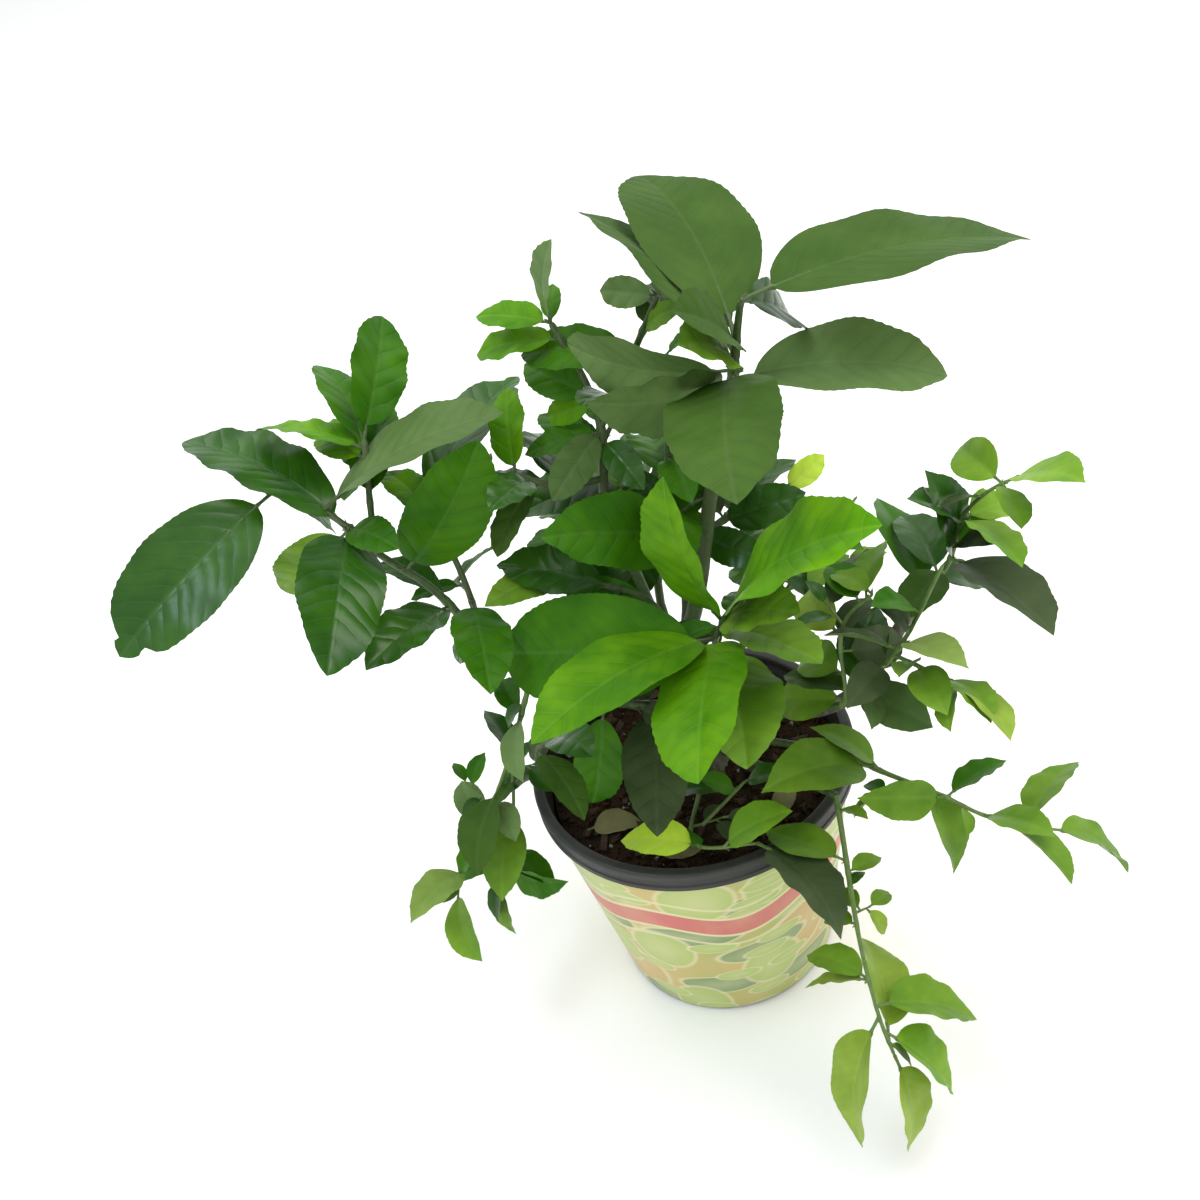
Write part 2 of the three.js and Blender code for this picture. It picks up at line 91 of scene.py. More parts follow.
# Angles of columns that stand evenly round a circle.
def turnsOf(columns):
    return 2 * np.pi * np.arange(columns) / columns


# Camera in millimetres and degrees, floor and light in metres
cameraView = {"place": (0, -510, 632.5), "heading": 93.1, "rise": -35.84, "roll": -14.47, "lens": 37.5}
warm, cool = (1.0, 0.965, 0.90), (0.72, 0.86, 1.0)
studio = {
    "sky": (0.985, 0.995, 1.0), "skyStrength": 1.0, "floor": (0.96, 0.96, 0.955), "floorHalf": 60,
    # Place, what it aims at, size, power and colour of each
    "softboxes": {
        "softboxAbove": ((0.9, 0.1, 2.1), (0, 0, 0.3), 1.3, 24, warm),
        "softboxBehind": ((-1.6, 2.2, 3.6), (0, 0, 0.3), 2.2, 34, warm),
        "softboxFront": ((0.9, -2.2, 1.3), (0, 0, 0.2), 1.2, 5, warm),
        "softboxWindow": ((-0.95, -0.3, 2.2), (-0.15, 0, 0.25), 0.6, 11, cool),
    },
}


# Adds an object that looks from a place towards a direction, turned by a roll.
def aimed(name, data, place, forward, roll=0.0):
    forward = Vector(forward).normalized()
    right = forward.cross(Vector((0, 0, 1))).normalized()
    up = right.cross(forward)
    turn = math.radians(roll)
    right, up = right * math.cos(turn) + up * math.sin(turn), up * math.cos(turn) - right * math.sin(turn)
    thing = bpy.data.objects.new(name, data)
    bpy.context.scene.collection.objects.link(thing)
    thing.matrix_world = Matrix.Translation(place) @ Matrix((right, up, -forward)).transposed().to_4x4()
    return thing


# Adds a shader node with its settings, and feeds its inputs from values or from other nodes' sockets.
def addNode(tree, kind, inputs=None, **settings):
    node = tree.nodes.new(kind)
    for key, value in settings.items():
        setattr(node, key, value)
    for key, value in (inputs or {}).items():
        if isinstance(value, bpy.types.NodeSocket):
            tree.links.new(value, node.inputs[key])
        else:
            node.inputs[key].default_value = value
    return node


# Arithmetic on sockets or numbers, by the operation's name in Blender.
def calc(tree, operation, first, second=0.0, third=0.0):
    return addNode(tree, "ShaderNodeMath", {0: first, 1: second, 2: third}, operation=operation).outputs[0]


# Value carried from one range to another and held inside it.
def rangeOf(tree, value, low, high, toLow=0.0, toHigh=1.0):
    node = addNode(tree, "ShaderNodeMapRange", {"Value": value, "From Min": low, "From Max": high,
                                                "To Min": toLow, "To Max": toHigh})
    return node.outputs["Result"]


# Mix of two colours, sockets or (r, g, b), by a share of the second that may be times a strength.
def blend(tree, share, first, second, strength=None):
    if strength is not None:
        share = calc(tree, "MULTIPLY", share, strength)
    first, second = (rgb(c) if isinstance(c, (tuple, list)) else c for c in (first, second))
    node = addNode(tree, "ShaderNodeMix", {0: share, 6: first, 7: second}, data_type="RGBA", blend_type="MIX")
    return node.outputs[2]


def newMaterial(name, **constants):
    material = bpy.data.materials.new(name)
    material.use_nodes = True
    tree = material.node_tree
    shader = tree.nodes["Principled BSDF"]
    for key, value in constants.items():
        shader.inputs[key].default_value = value
    return material, tree, shader


# Feeds a material's colour, roughness and a bump from a height, which stands "reach" metres high.
def feed(tree, shader, colour=None, roughness=None, height=None, depth=0.3, reach=0.001):
    if colour is not None:
        tree.links.new(colour, shader.inputs["Base Color"])
    if roughness is not None:
        tree.links.new(roughness, shader.inputs["Roughness"])
    if height is not None:
        bump = addNode(tree, "ShaderNodeBump", {"Height": height, "Strength": depth, "Distance": reach})
        tree.links.new(bump.outputs["Normal"], shader.inputs["Normal"])


def objectPlace(tree):
    return tree.nodes.new("ShaderNodeTexCoord").outputs["Object"]


def chartPlace(tree):
    return tree.nodes.new("ShaderNodeTexCoord").outputs["UV"]


def rgb(colour):
    return (*colour, 1.0)


# Starts a node group of plain numbers: inputs with their values, and outputs.
def newGroup(name, inputs, outputs):
    group = bpy.data.node_groups.new(name, "ShaderNodeTree")
    for label, value in inputs.items():
        socket = group.interface.new_socket(label, in_out="INPUT", socket_type="NodeSocketFloat")
        socket.default_value = value
    for label in outputs:
        group.interface.new_socket(label, in_out="OUTPUT", socket_type="NodeSocketFloat")
    return group, group.nodes.new("NodeGroupInput").outputs, group.nodes.new("NodeGroupOutput").inputs


def useGroup(tree, group, **values):
    return addNode(tree, "ShaderNodeGroup", values, node_tree=group).outputs


# Mottle: fine grain and broad patches from noise in the object's own space.
def makeMottle():
    group, given, out = newGroup("mottle", {"Grain": 200.0, "Patch": 25.0}, ("Grain", "Patch"))
    place = objectPlace(group)
    for label, detail, low, high in (("Grain", 4.0, 0.3, 0.7), ("Patch", 3.0, 0.38, 0.66)):
        noise = addNode(group, "ShaderNodeTexNoise", {"Vector": place, "Scale": given[label],
                                                      "Detail": detail, "Roughness": 0.6})
        group.links.new(rangeOf(group, noise.outputs["Fac"], low, high), out[label])
    return group


# How side veins lean and curve, how far noise moves them, and the ranges where each kind shows
veinShape = {"slope": 0.75, "curve": 1.4, "wander": 0.05, "wanderScale": 90.0, "sideVein": (0.44, 0.5),
             "fading": (0.05, 0.24, 1.0, 0.25), "midrib": (0.004, 0.016, 1.0, 0.0), "midribDepth": 0.8}


# Veins of a blade: side veins leave the midrib forwards at even steps and curve on to the edge. They run
# where V - slope * across - curve * across^2, times the pairs in 100 mm, is a whole number. The map's U is
# the distance across plus 0.5, and plus 1 more on the underside; V is the distance from the blade's foot,
# both in units of 100 mm.
def makeVeins(p):
    group, given, out = newGroup("veins", {"Pairs": 9.0}, ("Veins", "Quilt", "Underside"))
    split = addNode(group, "ShaderNodeSeparateXYZ", {0: chartPlace(group)})
    under = calc(group, "GREATER_THAN", split.outputs[0], 1.0)
    side = calc(group, "SUBTRACT", calc(group, "SUBTRACT", split.outputs[0], under), 0.5)
    across = calc(group, "ABSOLUTE", side)
    wander = addNode(group, "ShaderNodeTexNoise", {"Vector": objectPlace(group), "Scale": p["wanderScale"],
                                                   "Detail": 1.0})
    start = calc(group, "SUBTRACT", split.outputs[1], calc(group, "MULTIPLY", across, p["slope"]))
    square = calc(group, "MULTIPLY", across, across)
    start = calc(group, "SUBTRACT", start, calc(group, "MULTIPLY", square, p["curve"]))
    start = calc(group, "MULTIPLY_ADD", wander.outputs["Fac"], p["wander"], start)
    phase = calc(group, "FRACT", calc(group, "MULTIPLY", start, given["Pairs"]))
    away = calc(group, "ABSOLUTE", calc(group, "SUBTRACT", phase, 0.5))
    sideVein = rangeOf(group, away, *p["sideVein"])
    fading = rangeOf(group, across, *p["fading"])
    midrib = rangeOf(group, across, *p["midrib"])
    veins = calc(group, "MAXIMUM", midrib, calc(group, "MULTIPLY", sideVein, fading))
    valley = calc(group, "MULTIPLY", calc(group, "MULTIPLY", away, away), 4.0)
    quilt = calc(group, "MULTIPLY", calc(group, "SUBTRACT", 1.0, valley), fading)
    relief = calc(group, "SUBTRACT", quilt, calc(group, "MULTIPLY", midrib, p["midribDepth"]))
    sign = rangeOf(group, under, 0.0, 1.0, 1.0, -1.0)
    group.links.new(veins, out["Veins"])
    group.links.new(calc(group, "MULTIPLY", relief, sign), out["Quilt"])
    group.links.new(under, out["Underside"])
    return group


mottle = makeMottle()
leafVeins = makeVeins(veinShape)

# Tones of leaves: name, colour of the blade, colour of its patches, roughness and shine
leafTones = {
    "s": ("slate", (0.035, 0.060, 0.018), (0.062, 0.092, 0.034), 0.50, 0.14),
    "d": ("dark", (0.013, 0.068, 0.002), (0.030, 0.108, 0.004), 0.27, 0.30),
    "m": ("mid", (0.024, 0.112, 0.001), (0.052, 0.170, 0.002), 0.38, 0.11),
    "b": ("bright", (0.050, 0.180, 0.001), (0.125, 0.300, 0.004), 0.42, 0.09),
    "n": ("lively", (0.082, 0.270, 0.002), (0.190, 0.440, 0.007), 0.40, 0.12),
    "g": ("grey", (0.033, 0.083, 0.007), (0.050, 0.110, 0.012), 0.50, 0.12),
    "h": ("sage", (0.068, 0.130, 0.030), (0.092, 0.160, 0.042), 0.52, 0.14),
    "p": ("silver", (0.105, 0.185, 0.050), (0.135, 0.225, 0.066), 0.52, 0.14),
    "f": ("fresh", (0.082, 0.190, 0.010), (0.165, 0.305, 0.022), 0.44, 0.14),
    "y": ("young", (0.115, 0.270, 0.010), (0.225, 0.385, 0.028), 0.44, 0.14),
    "w": ("weeping", (0.170, 0.275, 0.020), (0.270, 0.390, 0.050), 0.46, 0.14),
    "l": ("pale", (0.220, 0.320, 0.070), (0.140, 0.235, 0.036), 0.50, 0.14),
    # v: painted light, a brighter copy of the green for leaves that would otherwise fall in shade
    "v": ("vivid", (0.400, 0.620, 0.030), (0.530, 0.720, 0.075), 0.44, 0.12),
    "t": ("dry", (0.210, 0.215, 0.090), (0.110, 0.095, 0.040), 0.70, 0.14),
}
# Each graft: pairs of side veins in 100 mm, how pale they are, the relief between them, and how strong the
# painted shade is in the grooves by the veins
leafFinish = {
    "lemon": {"pairs": 9.0, "veinLight": 0.15, "quiltDepth": 0.34, "quiltReach": 0.0011, "quiltPaintedShade": 0.22},
    "lime": {"pairs": 15.0, "veinLight": 0.12, "quiltDepth": 0.14, "quiltReach": 0.0005, "quiltPaintedShade": 0.12},
}
# Both grafts: grain and patches of the mottle, how dark the painted shade in the grooves is, and how the
# veins and the underside differ from the blade
leafMix = {"grain": 420.0, "patch": 30.0, "patchShare": 0.9, "paintedShadeFactor": 0.5, "grainRough": 0.08,
           "veinGain": 1.5, "veinLift": 0.05, "underGain": 0.55, "underLift": (0.060, 0.105, 0.038),
           "underRough": 0.62}


# Leaf: patches over the blade's colour, painted shade in the grooves beside pale veins, and a pale dull
# underside.
def leafMaterial(graft, tone):
    finish, mix = leafFinish[graft], leafMix
    name, main, patch, rough, shine = tone
    material, tree, shader = newMaterial(graft + "_leaf_" + name, **{"Specular IOR Level": shine})
    veins = useGroup(tree, leafVeins, Pairs=finish["pairs"])
    spots = useGroup(tree, mottle, Grain=mix["grain"], Patch=mix["patch"])
    blade = blend(tree, spots["Patch"], main, patch, mix["patchShare"])
    # Painted shade: the blade is darkened where the quilted relief sinks beside the veins
    paintedGrooveShade = rangeOf(tree, veins["Quilt"], 0.0, 0.8, finish["quiltPaintedShade"], 0.0)
    blade = blend(tree, paintedGrooveShade, blade, [mix["paintedShadeFactor"] * c for c in main])
    light = [min(1.0, mix["veinGain"] * c + mix["veinLift"]) for c in patch]
    blade = blend(tree, veins["Veins"], blade, light, finish["veinLight"])
    pale = [mix["underGain"] * c + k for c, k in zip(patch, mix["underLift"])]
    blade = blend(tree, veins["Underside"], blade, pale)
    dull = calc(tree, "MULTIPLY_ADD", veins["Underside"], mix["underRough"] - rough, rough)
    dull = calc(tree, "MULTIPLY_ADD", spots["Grain"], mix["grainRough"], dull)
    feed(tree, shader, blade, dull, veins["Quilt"], finish["quiltDepth"], finish["quiltReach"])
    return material


leafMaterials = {(graft, letter): leafMaterial(graft, leafTones[letter])
                 for graft in leafFinish for letter in leafTones}

# Wood finishes: bark of the trunk and of the old bough, and green bark of the young limbs
woodTones = {
    "bark": {"first": (0.085, 0.075, 0.048), "second": (0.16, 0.15, 0.11), "third": (0.045, 0.060, 0.022),
             "dull": 0.8, "scale": 260.0, "depth": 0.55},
    "green": {"first": (0.030, 0.070, 0.013), "second": (0.060, 0.110, 0.028), "third": (0.10, 0.105, 0.055),
              "dull": 0.5, "scale": 320.0, "depth": 0.25},
    "shoot": {"first": (0.060, 0.130, 0.018), "second": (0.100, 0.180, 0.035), "third": (0.14, 0.19, 0.06),
              "dull": 0.45, "scale": 320.0, "depth": 0.15},
}


# Wood: streaks along the limbs from noise stretched upwards, over patches, with a few pale pores.
def woodMaterial(name, tone):
    material, tree, shader = newMaterial(name, **{"Specular IOR Level": 0.35})
    spots = useGroup(tree, mottle, Grain=tone["scale"] * 2, Patch=60.0)
    tall = addNode(tree, "ShaderNodeMapping", {"Vector": objectPlace(tree), "Scale": (1.0, 1.0, 0.22)})
    streak = addNode(tree, "ShaderNodeTexNoise", {"Vector": tall.outputs[0], "Scale": tone["scale"],
                                                  "Detail": 5.0})
    fissure = rangeOf(tree, streak.outputs["Fac"], 0.35, 0.62)
    pores = addNode(tree, "ShaderNodeTexVoronoi", {"Vector": objectPlace(tree), "Scale": 330.0})
    pore = rangeOf(tree, pores.outputs["Distance"], 0.16, 0.26, 1.0, 0.0)
    colour = blend(tree, fissure, tone["first"], tone["second"])
    colour = blend(tree, spots["Patch"], colour, tone["third"], 0.6)
    colour = blend(tree, pore, colour, [1.6 * c for c in tone["second"]], 0.35)
    dull = calc(tree, "MULTIPLY_ADD", spots["Grain"], 0.15, tone["dull"] - 0.08)
    feed(tree, shader, colour, dull, calc(tree, "ADD", fissure, pore), tone["depth"], 0.0006)
    return material


barkMaterial = woodMaterial("old_bark", woodTones["bark"])
greenMaterial = woodMaterial("green_bark", woodTones["green"])
shootMaterial = woodMaterial("young_shoot", woodTones["shoot"])
print("materials of leaves and wood:", len(leafMaterials) + len(woodTones))


# Closed shell through rings of points: the ends are fans to their middle, or the last ring meets the first.
# Its quads face outwards where the rows follow a path and the columns turn about it anticlockwise, and
# "columns" has the column of each of their corners.
def ringShell(rings, loop=False):
    rows, columns = rings.shape[:2]
    row = np.arange(rows if loop else rows - 1)[:, None, None] + [0, 0, 1, 1]
    column = np.arange(columns)[None, :, None] + [0, 1, 1, 0]
    row, column = (grid.reshape(-1, 4) for grid in np.broadcast_arrays(row, column))
    quads = (row % rows) * columns + column % columns
    part = {"points": rings.reshape(-1, 3), "faces": [quads], "columns": column}
    if not loop:
        this = np.arange(columns)
        following, last = (this + 1) % columns, (rows - 1) * columns
        middle = np.full(columns, rows * columns)
        part["points"] = np.concatenate([part["points"], rings[:1].mean(1), rings[-1:].mean(1)])
        part["faces"] += [np.stack([middle, following, this], -1),
                          np.stack([middle + 1, this + last, following + last], -1)]
    return part


# Tube: at each point of a path, a circle of the given radius square to the path, times a relief.
def tube(path, radii, sides, relief=1.0):
    tangents = unit(np.gradient(path, axis=0))
    reference = np.eye(3)[np.abs(tangents).max(0).argmin()]
    across = unit(reference - (tangents @ reference)[:, None] * tangents)
    up = np.cross(tangents, across)
    angles = turnsOf(sides)
    out = across[:, None] * np.cos(angles)[None, :, None] + up[:, None] * np.sin(angles)[None, :, None]
    reach = (np.asarray(radii)[:, None] * relief * np.ones(sides))[..., None]
    return ringShell(path[:, None] + reach * out)


# Surface of revolution about Z from (radius, height) rows.
def revolved(profile, sides, loop=False):
    angles = turnsOf(sides) + np.pi / 2
    radius, height = np.array(profile, float).T[..., None] * np.ones(sides)
    return ringShell(np.stack([radius * np.cos(angles), radius * np.sin(angles), height], -1), loop)


# Quads of a grid of point numbers.
def cells(grid):
    return np.stack([grid[:-1, :-1], grid[:-1, 1:], grid[1:, 1:], grid[1:, :-1]], -1).reshape(-1, 4)


def lengthsAlong(points):
    return np.concatenate([[0], np.cumsum(np.linalg.norm(np.diff(points, axis=0), axis=1))])


# Smooth path through points: cubic pieces whose slopes at each point follow its neighbours, every "step".
def smoothPath(points, step):
    points = np.array(points, float)
    s = lengthsAlong(points)
    straight = np.tile((points[1] - points[0]) / s[1], (2, 1))
    slopes = np.gradient(points, s, axis=0) if len(points) > 2 else straight
    at = np.linspace(0, s[-1], max(3, int(s[-1] / step) + 2))
    i = np.clip(np.searchsorted(s, at, "right") - 1, 0, len(points) - 2)
    h = (s[i + 1] - s[i])[:, None]
    t = (at[:, None] - s[i][:, None]) / h
    return ((2 * t**3 - 3 * t**2 + 1) * points[i] + (t**3 - 2 * t**2 + t) * h * slopes[i]
            + (3 * t**2 - 2 * t**3) * points[i + 1] + (t**3 - t**2) * h * slopes[i + 1])


# Sum of waves with seeded pitches and phases; whole turns in the second argument, so it closes round.
def waves(along, turn, seed, pitch, turns, count=7):
    random = np.random.default_rng(seed)
    total = 0.0
    for k in range(count):
        total = total + np.sin(2 * np.pi * (along / (pitch * random.uniform(0.6, 1.6)) + random.random())
                               + random.integers(-turns, turns + 1) * turn) / count
    return total


# Makes one piece from parts in millimetres, joined, with its materials and the nodes it stands for. A part
# has blocks of faces, and for each block there may be a material's number and a map. Edges over "sharp"
# degrees are sharp.
def makePiece(name, parts, materials, nodes, sharp=55):
    offsets = np.cumsum([0] + [len(part["points"]) for part in parts])
    faces, looks, maps = [], [], []
    for part, offset in zip(parts, offsets):
        for k, block in enumerate(part["faces"]):
            faces += (block + offset).tolist()
            looks += [part["looks"][k] if "looks" in part else 0] * len(block)
            maps.append((part["uv"][k] if "uv" in part else np.zeros(block.shape + (2,))).reshape(-1, 2))
    mesh = bpy.data.meshes.new(name)
    mesh.from_pydata((np.concatenate([part["points"] for part in parts]) * mm).tolist(), [], faces)
    mesh.polygons.foreach_set("material_index", looks)
    mesh.polygons.foreach_set("use_smooth", [True] * len(faces))
    mesh.uv_layers.new(name="UVMap").data.foreach_set("uv", np.concatenate(maps).ravel())
    mesh.set_sharp_from_angle(angle=math.radians(sharp))
    for material in materials:
        mesh.materials.append(material)
    mesh.update()
    piece = bpy.data.objects.new(name, mesh)
    bpy.context.scene.collection.objects.link(piece)
    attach(piece, "root")
    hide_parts(*nodes)


# Part with the faces of a mesh, and its points divided by a unit.
def partOf(mesh, size=1.0):
    return {"points": np.array([vertex.co for vertex in mesh.vertices]) / size,
            "faces": [np.array([polygon.vertices[:]]) for polygon in mesh.polygons]}


# Studio floor: a wide sheet, not quite even in tone.
def makeFloor(p):
    material, tree, shader = newMaterial("studio_floor", **{"Roughness": 0.9, "Specular IOR Level": 0.1})
    patches = useGroup(tree, mottle, Grain=60.0, Patch=1.5)["Patch"]
    feed(tree, shader, blend(tree, patches, p["floor"], [0.985 * c for c in p["floor"]]))
    mesh = bpy.data.meshes.new("studio_floor")
    half = p["floorHalf"]
    corners = [(-half, -half, 0), (half, -half, 0), (half, half, 0), (-half, half, 0)]
    mesh.from_pydata(corners, [], [(0, 1, 2, 3)])
    mesh.materials.append(material)
    floor = bpy.data.objects.new("studio_floor", mesh)
    bpy.context.scene.collection.objects.link(floor)


makeFloor(studio)
camera = bpy.data.cameras.new("camera")
camera.lens = cameraView["lens"]
camera.sensor_width = 36.0
bpy.context.scene.camera = aimed("camera", camera, Vector(cameraView["place"]) * mm,
                                 direction(cameraView["heading"], cameraView["rise"]), cameraView["roll"])
for name, (place, aim, size, power, colour) in studio["softboxes"].items():
    lamp = bpy.data.lights.new(name, "AREA")
    lamp.size = size
    lamp.energy = power
    lamp.color = colour
    aimed(name, lamp, place, Vector(aim) - Vector(place))
world = bpy.data.worlds.new("studio")
world.use_nodes = True
world.node_tree.nodes["Background"].inputs["Color"].default_value = rgb(studio["sky"])
world.node_tree.nodes["Background"].inputs["Strength"].default_value = studio["skyStrength"]
bpy.context.scene.world = world
bpy.context.scene.view_settings.view_transform = "Standard"
print("studio: camera, floor and", len(studio["softboxes"]), "softboxes")

# Pot: a tapering wall with a two-step lip and a rolled edge, and drain holes through the floor
potShape = {"height": 150, "rim": 90, "base": 63, "lip": 12, "overhang": 4, "wall": 2.2, "floor": 3,
            "bead": 1.55, "holes": 6, "holeRadius": 5, "holeSides": 20, "holeCircle": 50, "sides": 144}
plasticLook = {"black": (0.020, 0.021, 0.019), "ring": (0.040, 0.041, 0.036), "scuff": (0.075, 0.080, 0.070),
               "dust": (0.046, 0.045, 0.036)}


# Pot's profile from the middle of its underside, out, up over the lip, and down inside. The rolled edge is
# two quarters of a circle.
def potProfile(p):
    top, foot, wall = p["height"], p["height"] - p["lip"], p["rim"] - p["overhang"]
    rim, base, inner, bead = p["rim"], p["base"], wall - p["wall"], p["bead"]
    turn = np.radians([0, 30, 60, 90, 120, 150, 180])
    outside = [(1.5, 0), (base - 16, 0), (base - 14, 0.35), (base - 5, 0.35), (base - 3.5, 0),
               (base - 0.9, 0), (base - 0.2, 0.4), (base + 0.15, 1.2), (base + 2.28, 12),
               (0.5 * (base + wall), foot / 2), (wall, foot - 0.4), (wall + 0.3, foot), (rim - 0.7, foot),
               (rim - 0.1, foot + 0.5), (rim - 0.1, foot + 3), (rim - 0.75, foot + 3.6),
               (rim - 0.75, top - 4.4), (rim - 0.05, top - 3.8)]
    edge = [(rim - bead + bead * math.cos(a), top - bead + bead * math.sin(a)) for a in turn[:4]]
    edge += [(inner + bead + bead * math.cos(a), top - bead + bead * math.sin(a)) for a in turn[3:]]
    inside = [(inner, top - 4), (inner - 0.6, top - 8), (inner - 0.9, foot),
              (0.5 * (inner + base) - 1, foot / 2), (base - p["wall"], p["floor"] + 1.2),
              (base - p["wall"] - 1.2, p["floor"]), (1.5, p["floor"])]
    return outside + edge + inside


# Radius of the pot's wall outside at a height.
def wallRadius(pot, z):
    return pot["base"] + (pot["rim"] - pot["overhang"] - pot["base"]) * z / (pot["height"] - pot["lip"])


# Black plastic: faint rings round the pot, pale scuffs, and dust in patches.
def plasticMaterial(look):
    material, tree, shader = newMaterial("charcoal_plastic", **{"Specular IOR Level": 0.32})
    spots = useGroup(tree, mottle, Grain=500.0, Patch=45.0)
    flat = addNode(tree, "ShaderNodeMapping", {"Vector": objectPlace(tree), "Scale": (0.35, 0.35, 5.0)})
    rings = addNode(tree, "ShaderNodeTexNoise", {"Vector": flat.outputs[0], "Scale": 90.0, "Detail": 3.0})
    ring = rangeOf(tree, rings.outputs["Fac"], 0.4, 0.65)
    scuffs = addNode(tree, "ShaderNodeTexNoise", {"Vector": flat.outputs[0], "Scale": 30.0, "Detail": 6.0,
                                                  "Distortion": 0.6})
    scuff = rangeOf(tree, scuffs.outputs["Fac"], 0.56, 0.68)
    colour = blend(tree, ring, look["black"], look["ring"], 0.5)
    colour = blend(tree, scuff, colour, look["scuff"], 0.45)
    colour = blend(tree, spots["Patch"], colour, look["dust"], 0.25)
    dull = calc(tree, "MULTIPLY_ADD", scuff, 0.25, calc(tree, "MULTIPLY_ADD", spots["Grain"], 0.12, 0.36))
    feed(tree, shader, colour, dull, calc(tree, "ADD", ring, spots["Grain"]), 0.2, 0.0003)
    return material


# Object with a part's points and faces, for cutting only.
def looseObject(name, part):
    mesh = bpy.data.meshes.new(name)
    mesh.from_pydata(part["points"].tolist(), [], [f for block in part["faces"] for f in block.tolist()])
    thing = bpy.data.objects.new(name, mesh)
    bpy.context.scene.collection.objects.link(thing)
    return thing


# Pot: the turned shell, less a round plug for each hole through its floor.
def makePot(p):
    shell = looseObject("uncut", revolved(potProfile(p), p["sides"]))
    plugs = []
    for turn in turnsOf(p["holes"]):
        centre = np.array([p["holeCircle"] * math.cos(turn), p["holeCircle"] * math.sin(turn), 0])
        path = centre + np.array([[0, 0, -p["floor"]], [0, 0, p["floor"]], [0, 0, 3 * p["floor"]]])
        plugs.append(looseObject("plug", tube(path, [p["holeRadius"]] * 3, p["holeSides"])))
        cut = shell.modifiers.new("hole", "BOOLEAN")
        cut.object = plugs[-1]
        cut.solver = "EXACT"
    cutMesh = bpy.data.meshes.new_from_object(shell.evaluated_get(bpy.context.evaluated_depsgraph_get()))
    for thing in [shell, *plugs]:
        bpy.data.objects.remove(thing)
    makePiece("nursery_pot", [partOf(cutMesh)], [plasticMaterial(plasticLook)], ["pot"], 35)


makePot(potShape)

# Sleeve: a printed label round the wall, whose map starts and ends at the back
sleeveShape = {"foot": 2, "below": 0.3, "gap": 0.25, "thick": 0.5, "rings": 24, "sides": 180,
               "ripple": 0.12, "ripples": (3, 60.0, 6), "chartRadius": 76}
sleevePrint = {
    "ground": (0.37, 0.39, 0.11), "shade": (0.50, 0.37, 0.12), "leaf": (0.080, 0.200, 0.060),
    "disc": (0.31, 0.44, 0.08), "amber": (0.50, 0.28, 0.07), "cream": (0.64, 0.60, 0.35),
    "band": (0.52, 0.080, 0.085), "bandHeight": 0.97, "bandHalf": 0.075, "bandWave": 0.055, "waves": 7.0,
    "lineAway": 0.10,
}
# Layers of shapes: turn, stretch, how close they stand, size, soft edge and ink
sleeveLayers = (
    (0.0, (1.0, 1.0, 1.0), 1.25, 0.30, 0.035, "amber"), (0.7, (0.8, 2.4, 1.0), 1.5, 0.34, 0.03, "leaf"),
    (0.0, (1.0, 1.0, 1.0), 1.7, 0.33, 0.03, "disc"), (-0.6, (1.0, 2.8, 1.0), 1.9, 0.27, 0.03, "disc"),
)


# Print: big soft discs and leaf shapes on a washed ground, each with a cream rim and a pale middle, with a
# waving ribbon over them. The map's U and V are the distances round and up in units of 100 mm.
def printMaterial(ink):
    material, tree, shader = newMaterial("printed_sleeve", **{"Specular IOR Level": 0.4})
    chart, cream = chartPlace(tree), ink["cream"]
    split = addNode(tree, "ShaderNodeSeparateXYZ", {0: chart})
    wash = addNode(tree, "ShaderNodeTexNoise", {"Vector": chart, "Scale": 1.7, "Detail": 1.5})
    washed = rangeOf(tree, wash.outputs["Fac"], 0.42, 0.60)
    colour = blend(tree, washed, ink["ground"], ink["shade"])
    for k, (turn, stretch, scale, size, edge, shade) in enumerate(sleeveLayers):
        moved = addNode(tree, "ShaderNodeMapping", {"Vector": chart, "Location": (0.83 * k, 0.41 * k, 0),
                                                    "Rotation": (0, 0, turn), "Scale": stretch})
        shapes = addNode(tree, "ShaderNodeTexVoronoi", {"Vector": moved.outputs[0], "Scale": scale,
                                                        "Randomness": 0.8}, voronoi_dimensions="2D")
        away = shapes.outputs["Distance"]
        colour = blend(tree, rangeOf(tree, away, size, size + edge, 0.7, 0.0), colour, cream)
        inside = rangeOf(tree, away, size - 1.3 * edge, size - 0.3 * edge, 0.85, 0.0)
        colour = blend(tree, inside, colour, ink[shade])
        colour = blend(tree, rangeOf(tree, away, 0.0, size, 0.35, 0.0), colour, cream)
    sway = calc(tree, "SINE", calc(tree, "MULTIPLY", split.outputs[0], ink["waves"]))
    middle = calc(tree, "MULTIPLY_ADD", sway, ink["bandWave"], ink["bandHeight"])
    away = calc(tree, "ABSOLUTE", calc(tree, "SUBTRACT", split.outputs[1], middle))
    half = ink["bandHalf"]
    colour = blend(tree, rangeOf(tree, away, half + 0.014, half + 0.022, 1.0, 0.0), colour, cream)
    colour = blend(tree, rangeOf(tree, away, half - 0.006, half + 0.002, 0.9, 0.0), colour, ink["band"])
    line = calc(tree, "ABSOLUTE", calc(tree, "SUBTRACT", away, half + ink["lineAway"]))
    colour = blend(tree, rangeOf(tree, line, 0.007, 0.013, 0.8, 0.0), colour, cream)
    spots = useGroup(tree, mottle, Grain=700.0, Patch=30.0)
    colour = blend(tree, spots["Patch"], colour, cream, 0.2)
    dull = calc(tree, "MULTIPLY_ADD", spots["Patch"], 0.15, 0.34)
    feed(tree, shader, colour, dull, spots["Patch"], 0.12, 0.0008)
    return material


